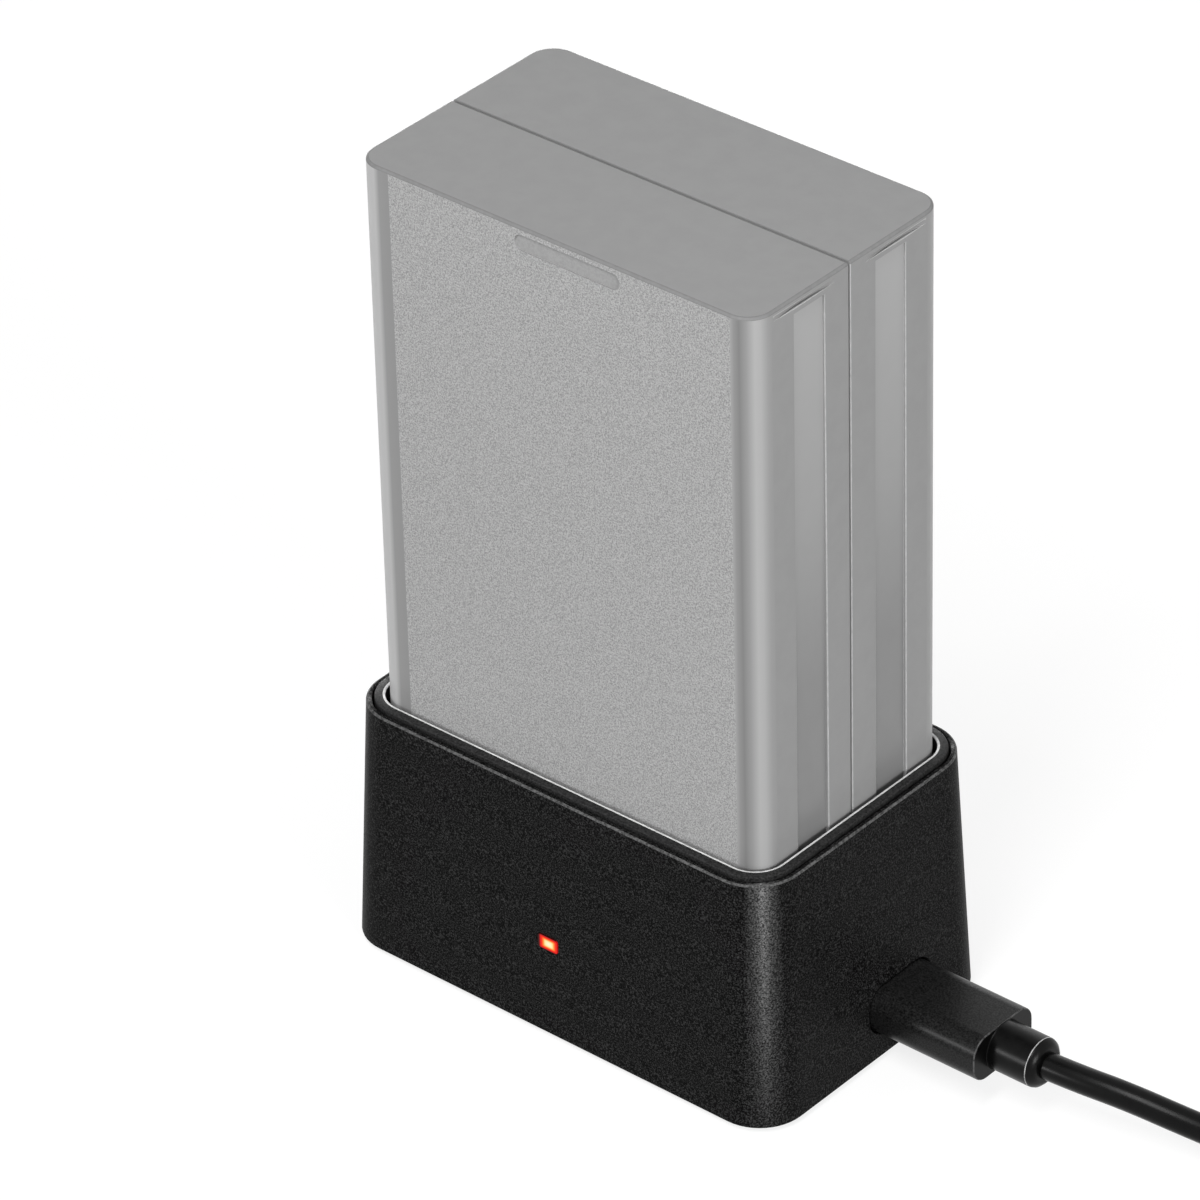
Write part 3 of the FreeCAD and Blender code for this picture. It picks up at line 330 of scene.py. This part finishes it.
bpy.ops.mesh.extrude_region_move(TRANSFORM_OT_translate={"value": (0, 0, rebate_depth * MM)})
bpy.ops.mesh.inset(thickness=housing_lip * MM)
select(housing, "FACE", lambda p: len(p) > 4
       and all(abs(point.x) < lip_half[0] + NEAR for point in p))
bpy.ops.mesh.bridge_edge_loops()
# The outer top edge's rounding takes a painted highlight line.
select(housing, "EDGE", on_plan(top_half, housing_corner, housing_high))
bevel(top_edge, 3, finish=1)
select(housing, "EDGE", on_plan(lip_half, lip_corner, housing_high))
bevel(lip_edge, 2)
select(housing, "EDGE", on_plan(housing_half, housing_corner, housing_low))
bevel(foot_edge, 3)
plug_opening = block(
    "plug_opening",
    (plug_opening_ends[0], plug_side - plug_opening_half[0], plug_axis - plug_opening_half[1]),
    (plug_opening_ends[1], plug_side + plug_opening_half[0], plug_axis + plug_opening_half[1]))
select(plug_opening, "EDGE", along(0))
bevel(plug_opening_corner, 8)
cut(housing, plug_opening)
window_opening = block(
    "window_opening",
    (window_side - window_half[0], window_ends[0], window_level - window_half[1]),
    (window_side + window_half[0], window_ends[1], window_level + window_half[1]))
select(window_opening, "EDGE", along(1))
bevel(window_corner, 4)
cut(housing, window_opening)
finish_edges(housing, opening_edge, "housing_plastic", "outer_housing", angle=60)

# Light pipe: a clear polycarbonate bar with a leg, which stands over a small red LED on the board.
# Its end fills the window in the front wall and glows, white hot in the middle, red at its edges.
lens_half = (1.3, 0.85)
glow_side, glow_blend = window_side + 0.15, 0.3
led_white = surface("white_moulded_led", ("#d8d4c8", "#efece2"), grit=0.2, relief=0.003,
                    roughness=0.4)
dress(led_white, "indicator_led")
lens = bpy.data.materials.new("lit_red_polycarbonate")
lens.use_nodes = True
lens_tree = lens.node_tree
lens_shader = lens_tree.nodes["Principled BSDF"]
lens_shader.inputs["Base Color"].default_value = linear("#240303")
lens_shader.inputs["Roughness"].default_value = 0.25
lens_shader.inputs["Specular IOR Level"].default_value = 0.1
lens_shader.inputs["Emission Strength"].default_value = 1.0
lens_place = add(lens_tree, "ShaderNodeTexCoord").outputs["Object"]
lens_middle = add(lens_tree, "ShaderNodeMapping", {"Vector": lens_place}, {
    "Location": (-glow_side / lens_half[0], 0.0, -window_level / lens_half[1]),
    "Scale": (1 / (lens_half[0] * MM), 0.0, 1 / (lens_half[1] * MM)),
}).outputs["Vector"]
lens_apart = add(lens_tree, "ShaderNodeVectorMath", {0: lens_middle},
                 operation="ABSOLUTE").outputs["Vector"]
lens_axes = add(lens_tree, "ShaderNodeSeparateXYZ", {"Vector": lens_apart}).outputs
lens_reach = add(lens_tree, "ShaderNodeMath", {0: lens_axes["X"], 1: lens_axes["Z"]},
                 {2: glow_blend}, operation="SMOOTH_MAX").outputs["Value"]
lens_glow = add(lens_tree, "ShaderNodeValToRGB", {"Fac": lens_reach}, ramp=[
    (0.0, "#fffbe0"), (0.36, "#ffe9a0"), (0.52, "#ff9838"), (0.68, "#ff2a08"), (0.84, "#d80a04"),
    (0.97, "#280000")]).outputs["Color"]
lens_tree.links.new(lens_glow, lens_shader.inputs["Emission Color"])
dress(lens, "light_pipe")

# Cradle: the tub that the battery stands in, moulded in the same ABS and pressed in from above.
# Its rim stands just proud of the housing, finely grained, with a painted highlight along its inner
# edge.
cradle_half, cradle_corner = (26.7, 16.2), 4.45
cradle_wall, rim_line = 1.15, 0.28
cradle_low, well_floor, rim_high = 13.0, 14.5, 29.7
rim_inner_edge, rim_outer_edge = 0.12, 0.18
contact_row, contact_places = 6.15, (-5.0, 0.0, 5.0)
contact_slot_half, contact_slot_ends = (1.4, 2.0), (12.0, 16.0)
rim_abs = surface("fine_grained_rim_abs", ("#121212", "#343434"), grit=0.2, relief=0.03,
                  roughness=0.5, Specular_IOR_Level=0.15)
bright_edge = surface("painted_highlight_rim_edge", ("#d4d4d4", "#f0f0f0"), grit=0.6, roughness=0.22)
cradle = block("battery_cradle", (-cradle_half[0], -cradle_half[1], cradle_low),
               (*cradle_half, rim_high), rim_abs, bright_edge)
well_half = [half - cradle_wall for half in cradle_half]
well_corner = cradle_corner - cradle_wall
line_half = [half + rim_line for half in well_half]
line_corner = well_corner + rim_line
select(cradle, "EDGE", along(2))
bevel(cradle_corner, CORNER_STEPS)
select(cradle, "FACE", level(2, rim_high))
bpy.ops.mesh.inset(thickness=(cradle_wall - rim_line) * MM)
bpy.ops.mesh.inset(thickness=rim_line * MM)
bpy.ops.mesh.extrude_region_move(
    TRANSFORM_OT_translate={"value": (0, 0, (well_floor - rim_high) * MM)})
# A narrow ring along the inner edge, and the edge's rounding, take a painted highlight.
select(cradle, "FACE", lambda p: level(2, rim_high)(p)
       and all(off_plan(point, line_half, line_corner) < NEAR_PLAN for point in p))
paint(cradle, finish=1)
select(cradle, "EDGE", on_plan(well_half, well_corner, rim_high))
bevel(rim_inner_edge, 2, finish=1)
select(cradle, "EDGE", on_plan(cradle_half, cradle_corner, rim_high))
bevel(rim_outer_edge, 2)
for slot_x in contact_places:
    contact_slot = block(
        "contact_slot",
        (slot_x - contact_slot_half[0], contact_row - contact_slot_half[1], contact_slot_ends[0]),
        (slot_x + contact_slot_half[0], contact_row + contact_slot_half[1], contact_slot_ends[1]))
    cut(cradle, contact_slot)
finish_edges(cradle, 0.0, "cradle_plastic", "cradle")

# Spring contacts: three strips of gold-plated bronze, bent over and held in the contact block.
# Gold over a rolled strip keeps the strip's fine lines.
gold = surface("gold_plated_bronze", ("#c79a45", "#e6c277"), grit=0.4, relief=0.002,
               roughness=0.26, stretch=(1, 1, 0.1), Metallic=1.0)
dress(gold, "spring_contact_1", "spring_contact_2", "spring_contact_3",
      "battery_terminal_1", "battery_terminal_2", "battery_terminal_3")

# Battery pack: two half shells of grey ABS, welded along a seam where their rounded edges meet.
# The broad faces are grained between smooth corners. The narrow sides have sunk strips and grips.
# The grain is drawn as coarse as it needs to show, and the corners carry a painted sheen.
pack_half, pack_corner = (25.05, 14.55), 2.8
pack_low, pack_high, top_round = 14.5, 92.9, 0.3
shell_low, shell_high = pack_low + top_round, pack_high - top_round
corner_middle = [half - pack_corner for half in pack_half]
far_margin = -20.65
seam_round = {"front": 0.45, "rear": 0.1}
seam_side = {"front": "smooth", "rear": "pale"}
strip_near, strip_far, strip_depth, strip_edge = 3.8, 8.5, 0.3, 0.2
strip_low, strip_high = 10.0, 91.15
grip_side, grip_level, grip_edge = 6.9, 92.0, 0.12
grip_length, grip_height, grip_depth = 9.2, 0.5, 0.35
grip_radius = (grip_length ** 2 / 4 + grip_depth ** 2) / (2 * grip_depth)
nail_slot_low, nail_slot_high, nail_slot_corner = (-4.5, -15.2, 90.25), (8.7, -14.37, 92.05), 0.88
shell_edge = 0.07
# Tones of the painted sheen round the near corners and, wider, round the far left ones.
corner_tones = [
    (0.0, "#a0a0a0"), (0.1, "#888888"), (0.22, "#787878"), (0.38, "#8c8c8c"),
    (0.56, "#a8a8a8"), (0.7, "#a8a8a8"), (0.88, "#989898"), (1.0, "#949494")]
far_tones = [
    (0.0, "#8e8e8e"), (0.2, "#8a8a8a"), (0.33, "#8e8e8e"), (0.42, "#bababa"),
    (0.55, "#c4c4c4"), (0.72, "#b8b8b8"), (0.85, "#a0a0a0"), (1.0, "#949494")]
# Tones of the strips' painted reflection, paler towards their tops.
strip_tones = [(0.0, "#838383"), (0.42, "#858585"), (0.68, "#9c9c9c"), (1.0, "#aaaaaa")]


def corner_sheen(start, tones):
    """A painted sheen round a corner: a darker band beside the grained face, and then a pale one.
    """
    def lay(tree, place, grain):
        turned = round_corner(tree, place, corner_middle)
        share = add(tree, "ShaderNodeMapRange", {"Value": turned}, {"From Min": start})
        return add(tree, "ShaderNodeValToRGB", {"Fac": share.outputs["Result"]},
                   ramp=tones).outputs["Color"]
    return lay


def strip_sheen(tree, place, grain):
    """Pales the sunk strips towards their tops: a painted reflection."""
    height = add(tree, "ShaderNodeSeparateXYZ", {"Vector": place}).outputs["Z"]
    share = add(tree, "ShaderNodeMapRange", {"Value": height}, {
        "From Min": pack_low * MM, "From Max": pack_high * MM})
    return add(tree, "ShaderNodeValToRGB", {"Fac": share.outputs["Result"]},
               ramp=strip_tones).outputs["Color"]


# Of these greys, pale, corner, far and strip are painted highlight, sheen and reflection, and dull
# is painted shade.
greys = {
    "smooth": surface("smooth_grey_abs", ("#949494", "#979797"), grit=2.5, roughness=0.45,
                      spread=0.02, Specular_IOR_Level=0.3),
    "grained": surface("grained_grey_abs", ("#8a8a8a", "#bcbcbc"), grit=0.165, relief=0.025,
                       roughness=0.52, Specular_IOR_Level=0.3),
    "strip": surface("sunk_strip_grey_abs", strip_sheen, grit=2.5, roughness=0.36),
    "pale": surface("painted_highlight_grey_abs_edge", ("#b0b0b0", "#bcbcbc"), grit=0.6, roughness=0.35),
    "corner": surface("painted_sheen_grey_abs_corner", corner_sheen(0.0, corner_tones), grit=2.5,
                      roughness=0.4),
    "far": surface("painted_sheen_grey_abs_far_corner", corner_sheen(-0.6, far_tones), grit=2.5,
                   roughness=0.4),
    "slot": surface("moulded_grey_abs_slot", ("#989898", "#a2a2a2"), grit=0.25, relief=0.004,
                    roughness=0.5, Specular_IOR_Level=0.3),
    "seam": surface("shaded_grey_abs_seam", ("#808080", "#888888"), grit=0.6, roughness=0.6,
                    Specular_IOR_Level=0.1),
    "dull": surface("painted_shade_grey_abs_edge", ("#808080", "#868686"), grit=0.6, roughness=0.55,
                    Specular_IOR_Level=0.2),
}
grey = {name: index for index, name in enumerate(greys)}
for label, side in (("front", -1), ("rear", 1)):
    near_y, far_y = sorted((0.0, pack_half[1] * side))
    shell = block(f"battery_{label}_half", (-pack_half[0], near_y, pack_low),
                  (pack_half[0], far_y, pack_high), *greys.values())
    select(shell, "EDGE", lambda p: along(2)(p) and abs(p[0].y) > corner_middle[1])
    # The corners' rounding takes the painted sheen.
    bevel(pack_corner, CORNER_STEPS, grey["corner"])
    select(shell, "FACE", level(1, pack_half[1] * side))
    bpy.ops.mesh.bisect(plane_co=(far_margin * MM, 0, 0), plane_no=(1, 0, 0))
    # The top and bottom edges' rounding takes a painted shade.
    select(shell, "EDGE", lambda p: (level(2, pack_high)(p) or level(2, pack_low)(p))
           and not level(1, 0.0)(p))
    bevel(top_round, 3, grey["dull"])
    select(shell, "EDGE", level(1, 0.0))
    bevel(seam_round[label], 4, grey["seam"])
    # On the narrow sides the seam's rounding is repainted: plain on the front half, a painted
    # highlight line on the rear half.
    select(shell, "FACE", lambda p: not level(1, 0.0)(p) and all(
        abs(point.y) < seam_round[label] + NEAR and point.z < shell_high + NEAR
        and point.x * p[0].x > 0 for point in p))
    paint(shell, grey[seam_side[label]])
    near_y, far_y = sorted((strip_near * side, strip_far * side))
    for end in (-1, 1):
        face_x = pack_half[0] * end
        cut(shell, block("strip", (face_x - strip_depth, near_y, strip_low),
                         (face_x + strip_depth, far_y, strip_high)))
        bpy.ops.object.select_all(action="DESELECT")
        bpy.ops.mesh.primitive_cylinder_add(
            vertices=256, radius=grip_radius * MM, depth=grip_height * MM,
            location=((face_x + (grip_radius - grip_depth) * end) * MM, grip_side * side * MM,
                      grip_level * MM))
        cut(shell, bpy.context.object)
    # The strips' edges take a painted highlight line.
    select(shell, "EDGE", lambda p: along(2)(p) and abs(abs(p[0].x) - pack_half[0]) < NEAR
           and min(abs(abs(p[0].y) - strip_near), abs(abs(p[0].y) - strip_far)) < NEAR)
    bevel(strip_edge, 2, grey["pale"])
    # The grips' lips take a painted highlight line.
    select(shell, "EDGE", lambda p: all(abs(abs(point.x) - pack_half[0]) < NEAR for point in p)
           and any(level(2, grip_level + grip_height / 2 * way)(p) for way in (-1, 1)))
    bevel(grip_edge, 2, grey["pale"])
    if label == "front":
        nail_slot = block("nail_slot", nail_slot_low, nail_slot_high)
        select(nail_slot, "EDGE", along(1))
        bevel(nail_slot_corner, 6)
        cut(shell, nail_slot)
    select(shell, "FACE", level(1, pack_half[1] * side))
    paint(shell, grey["grained"])
    # The far left corners take a wider painted sheen.
    select(shell, "FACE", lambda p: all(
        point.x < far_margin + NEAR and abs(point.y) > corner_middle[1] - NEAR
        and shell_low - NEAR < point.z < shell_high + NEAR for point in p))
    paint(shell, grey["far"])
    if label == "front":
        select(shell, "FACE", level(1, nail_slot_high[1]))
        paint(shell, grey["slot"])
    # The sunk strips take a painted reflection, paler towards their tops.
    select(shell, "FACE", lambda p: all(abs(abs(point.x) - pack_half[0] + strip_depth) < NEAR
                                        and point.z < strip_high + NEAR for point in p))
    paint(shell, grey["strip"])
    # The last roundings take a painted highlight line.
    finish_edges(shell, shell_edge, "battery_plastic", f"battery_{label}_shell", angle=60,
                 finish=grey["pale"])

# Cells: two shrink-wrapped lithium cells under a foam pad, joined by a nickel strip.
# The wrap is glossy blue film, pulled tight so that it shows faint lengthwise creases.
shrink_wrap = surface("blue_shrink_wrap", ("#1c4a78", "#27598c"), grit=1.5, relief=0.02,
                      roughness=0.3, stretch=(1, 1, 0.05))
foam = surface("closed_cell_foam", ("#1b1b1b", "#2f2f2f"), grit=0.4, relief=0.1, roughness=0.9)
dress(shrink_wrap, "battery_cell_1", "battery_cell_2")
dress(foam, "cell_pad")

# Micro plug: a black PVC moulding over the plug's metal shell, with a round sleeve for the cord.
# Its faces are finely grained, which is drawn as coarse as it needs to show. Its end and its sleeve
# are smooth and take a soft shine.
plug_start, plug_end, sleeve_end = 27.25, 41.5, 47.2
plug_half, plug_corner, plug_edge = (4.75, 2.65), 2.1, 0.12
sleeve_radius = 2.7
ring_start, ring_end = sleeve_end - 0.98, sleeve_end - 0.88
sleeve_profile = [
    (plug_end, sleeve_radius - 0.2), (plug_end + 0.02, sleeve_radius + 0.06),
    (plug_end + 0.12, sleeve_radius), (ring_start, sleeve_radius), (ring_end, sleeve_radius - 0.02),
    (sleeve_end - 0.55, 2.56), (sleeve_end - 0.2, 2.2), (sleeve_end, 1.75)]


def lathe(name, side, height, profile, *finishes):
    """Turns a piece about an axis along X: a disc, drawn out ring by ring to (x, radius) in mm."""
    bpy.ops.object.mode_set(mode="OBJECT")
    bpy.ops.object.select_all(action="DESELECT")
    x, radius = profile[0]
    bpy.ops.mesh.primitive_circle_add(
        vertices=48, radius=radius * MM, fill_type="NGON",
        location=(x * MM, side * MM, height * MM), rotation=(0, math.pi / 2, 0))
    piece = bpy.context.object
    piece.name = name
    piece.data.name = name
    bpy.ops.object.transform_apply(location=True, rotation=True, scale=True)
    for finish in finishes:
        piece.data.materials.append(finish)
    bpy.ops.object.mode_set(mode="EDIT")
    bpy.ops.mesh.select_mode(type="FACE")
    bpy.ops.mesh.select_all(action="SELECT")
    for next_x, next_radius in profile[1:]:
        step = ((next_x - x) * MM, 0, 0)
        bpy.ops.mesh.extrude_region_move(TRANSFORM_OT_translate={"value": step})
        bpy.ops.transform.resize(value=(1, next_radius / radius, next_radius / radius))
        x, radius = next_x, next_radius
    bpy.ops.mesh.select_all(action="SELECT")
    bpy.ops.mesh.normals_make_consistent(inside=False)
    return piece


plug_pvc = surface("satin_black_pvc", ("#050505", "#090909"), grit=0.8, roughness=0.3, spread=0.02,
                   Specular_IOR_Level=0.12)
plug_grain = surface("grained_black_pvc", ("#050505", "#282828"), grit=0.17, relief=0.004,
                     roughness=0.31, spread=0.03, Specular_IOR_Level=0.13)
plug_line = surface("painted_highlight_black_pvc_edge", ("#2c2c2c", "#565656"), grit=0.5, roughness=0.3,
                    Specular_IOR_Level=0.2)
sleeve_ring = surface("painted_highlight_black_pvc_ring", ("#8c8c8c", "#b8b8b8"), grit=0.5, roughness=0.3)
plug = block("micro_plug_moulding",
             (plug_start, plug_side - plug_half[0], plug_axis - plug_half[1]),
             (plug_end, plug_side + plug_half[0], plug_axis + plug_half[1]),
             plug_pvc, plug_grain, plug_line)
select(plug, "EDGE", along(0))
bevel(plug_corner, 8)
select(plug, "FACE", lambda p: not level(0, plug_end)(p))
paint(plug, finish=1)
# The end's rounded edge takes a painted highlight line.
select(plug, "EDGE", level(0, plug_end))
bevel(plug_edge, 2, finish=2)
finish_edges(plug, 0.0, "plug_moulding", "micro_plug_body")
sleeve = lathe("micro_plug_sleeve", plug_side, plug_axis, sleeve_profile, plug_pvc, sleeve_ring)
# The ring near the sleeve's end takes a painted highlight.
select(sleeve, "FACE", lambda p: all(
    ring_start - NEAR < point.x < ring_end + NEAR for point in p))
paint(sleeve, finish=1)
finish_edges(sleeve, 0.0, "plug_moulding")

# Cord: a round USB lead with a smooth glossy PVC jacket, 2.9 mm thick and about half a metre long.
# It leaves the plug's sleeve and sinks to the desk, and the rest is wound in a flat double coil.
cord_radius = 1.45
coil_middle, coil_reach, coil_lead = (103.8, -1.35), 17.9, 12.0
coil_turns, turn_points = 5, 24
climb_start, climb_turns = 2.3, 0.4
cord_route = [
    (47.2, 3.4, 6.15), (50.6, 3.6, 6.15), (56.0, 4.7, 5.8), (62.1, 6.25, 4.6), (68.6, 8.6, 2.85),
    (75.2, 12.0, 1.7), (81.5, 15.4, 1.45), (86.6, 16.55, 1.45),
    (coil_middle[0] - coil_lead, coil_middle[1] + coil_reach, cord_radius),
]
for step in range(coil_turns * turn_points + 1):
    turn = step / turn_points
    reach = coil_reach - 2 * cord_radius * min(turn, coil_turns - turn)
    climb = min(max((turn - climb_start) / climb_turns, 0.0), 1.0)
    angle = math.pi / 2 - 2 * math.pi * turn
    cord_route.append((coil_middle[0] + reach * math.cos(angle),
                       coil_middle[1] + reach * math.sin(angle), cord_radius * (1 + 2 * climb)))
cord_route.append((coil_middle[0] + coil_lead, coil_middle[1] + coil_reach, 3 * cord_radius))
cord_curve = bpy.data.curves.new("usb_lead", "CURVE")
cord_curve.dimensions = "3D"
cord_curve.bevel_depth = cord_radius * MM
cord_curve.bevel_resolution = 6
cord_curve.resolution_u = 6
line = cord_curve.splines.new("NURBS")
line.points.add(len(cord_route) - 1)
for point, place in zip(line.points, cord_route):
    point.co = (*(x * MM for x in place), 1.0)
line.order_u = 3
line.use_endpoint_u = True
cord = bpy.data.objects.new("usb_lead", cord_curve)
bpy.context.scene.collection.objects.link(cord)
jacket = surface("glossy_black_pvc_jacket", ("#030303", "#060606"), grit=1.2, roughness=0.28,
                 spread=0.02, Specular_IOR_Level=0.13)
cord_curve.materials.append(jacket)
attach(cord, "root")
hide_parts("usb_cord", "cord_coil")

# Far plug: a black PVC moulding on a nickel shell with a white insulator and four gold contacts.
# The moulding is smooth and satin, and the shell has the same bright plate as the socket.
white_nylon = surface("white_moulded_nylon", ("#dcdcd8", "#efefec"), grit=0.4, relief=0.004,
                      roughness=0.42)
dress(plug_pvc, "a_plug_body")
dress(nickel, "a_plug_shell")
dress(white_nylon, "a_plug_insulator")
dress(gold, "a_plug_contact_1", "a_plug_contact_2", "a_plug_contact_3", "a_plug_contact_4")

# Tie: a soft black nylon strap, closed round the coil's turns beside the far plug.
# Its weave is fine and dull against the glossy jacket.
tie_low, tie_high = (112.85, -0.9, 0.0), (123.05, 3.3, 6.4)
tie_band, tie_corner, tie_edge = 0.55, 1.9, 0.12
strap_weave = surface("woven_black_nylon_strap", ("#0c0c0c", "#242424"), grit=0.35, relief=0.06,
                      roughness=0.75, stretch=(1, 0.3, 1), Specular_IOR_Level=0.2)
tie = block("coil_strap", tie_low, tie_high, strap_weave)
select(tie, "EDGE", along(1))
bevel(tie_corner, 6)
select(tie, "FACE", lambda p: level(1, tie_low[1])(p) or level(1, tie_high[1])(p))
bpy.ops.mesh.inset(thickness=tie_band * MM, use_individual=True)
bpy.ops.mesh.bridge_edge_loops()
finish_edges(tie, tie_edge, "plug_moulding", "cable_tie")

# Stage: a pale matt floor that runs to a white surround, with soft boxes to the left, to the right,
# above and behind. The floor takes the object's shadow, and a little glow of its own to the camera
# keeps it white.
floor_size, floor_glow = 6.0, 0.8
surround_seen, surround_light = 1.0, 0.3
lamp_aim = Vector((0, 0, 0.05))
bpy.ops.object.select_all(action="DESELECT")
bpy.ops.mesh.primitive_plane_add(size=floor_size)
floor = bpy.context.object
floor.name = "floor"
floor_white = bpy.data.materials.new("pale_matt_floor")
floor_white.use_nodes = True
floor_tree = floor_white.node_tree
floor_shader = floor_tree.nodes["Principled BSDF"]
floor_shader.inputs["Base Color"].default_value = linear("#8c8c8c")
floor_shader.inputs["Roughness"].default_value = 1.0
floor_shader.inputs["Specular IOR Level"].default_value = 0.0
floor_shader.inputs["Emission Color"].default_value = (1, 1, 1, 1)
floor.data.materials.append(floor_white)
world = bpy.data.worlds.new("white_surround")
bpy.context.scene.world = world
world.use_nodes = True
backdrop = world.node_tree.nodes["Background"]
backdrop.inputs["Color"].default_value = (1, 1, 1, 1)
for tree, shown, lit, target in (
    (floor_tree, floor_glow, 0.0, floor_shader.inputs["Emission Strength"]),
    (world.node_tree, surround_seen, surround_light, backdrop.inputs["Strength"]),
):
    rays = add(tree, "ShaderNodeLightPath").outputs
    seen = rays["Is Camera Ray"]
    for kind in ("Is Glossy Ray", "Is Transmission Ray"):
        seen = add(tree, "ShaderNodeMath", {0: seen, 1: rays[kind]},
                   operation="MAXIMUM").outputs["Value"]
    strength = add(tree, "ShaderNodeMapRange", {"Value": seen}, {"To Min": lit, "To Max": shown})
    tree.links.new(strength.outputs["Result"], target)
for label, place, width, height, power in (
    ("left_soft_box", (-0.28, -0.66, 0.12), 0.1, 0.12, 1.3),
    ("right_soft_box", (0.60, -0.20, 0.20), 0.2, 0.2, 2.4),
    ("top_soft_box", (0.09, -0.30, 0.56), 0.16, 0.3, 2.0),
    ("rear_soft_box", (-0.47, 0.47, 0.06), 0.3, 0.1, 2.8),
):
    lamp = bpy.data.lights.new(label, "AREA")
    lamp.shape = "RECTANGLE"
    lamp.size = width
    lamp.size_y = height
    lamp.energy = power
    soft_box = bpy.data.objects.new(label, lamp)
    bpy.context.scene.collection.objects.link(soft_box)
    soft_box.location = place
    soft_box.rotation_mode = "QUATERNION"
    soft_box.rotation_quaternion = (lamp_aim - Vector(place)).to_track_quat("-Z", "Y")

# Camera: a long lens above the dock's near corner, so that the uprights stay nearly parallel.
# It is turned a little on its axis, as the picture is.
azimuth, elevation, roll = (math.radians(angle) for angle in (41.26, 33.57, -1.53))
aim = Vector((-4.277, -3.752, 44.31)) * MM
distance = 0.75
back = Vector((math.sin(azimuth) * math.cos(elevation), -math.cos(azimuth) * math.cos(elevation),
               math.sin(elevation)))
long_lens = bpy.data.cameras.new("camera")
long_lens.sensor_width = 36
long_lens.lens = 225
long_lens.clip_start = 0.01
camera = bpy.data.objects.new("camera", long_lens)
bpy.context.scene.collection.objects.link(camera)
camera.rotation_mode = "QUATERNION"
camera.rotation_quaternion = (-back).to_track_quat("-Z", "Y") @ Quaternion((0, 0, 1), roll)
camera.location = aim + back * distance
bpy.context.scene.camera = camera
bpy.context.scene.view_settings.view_transform = "Standard"
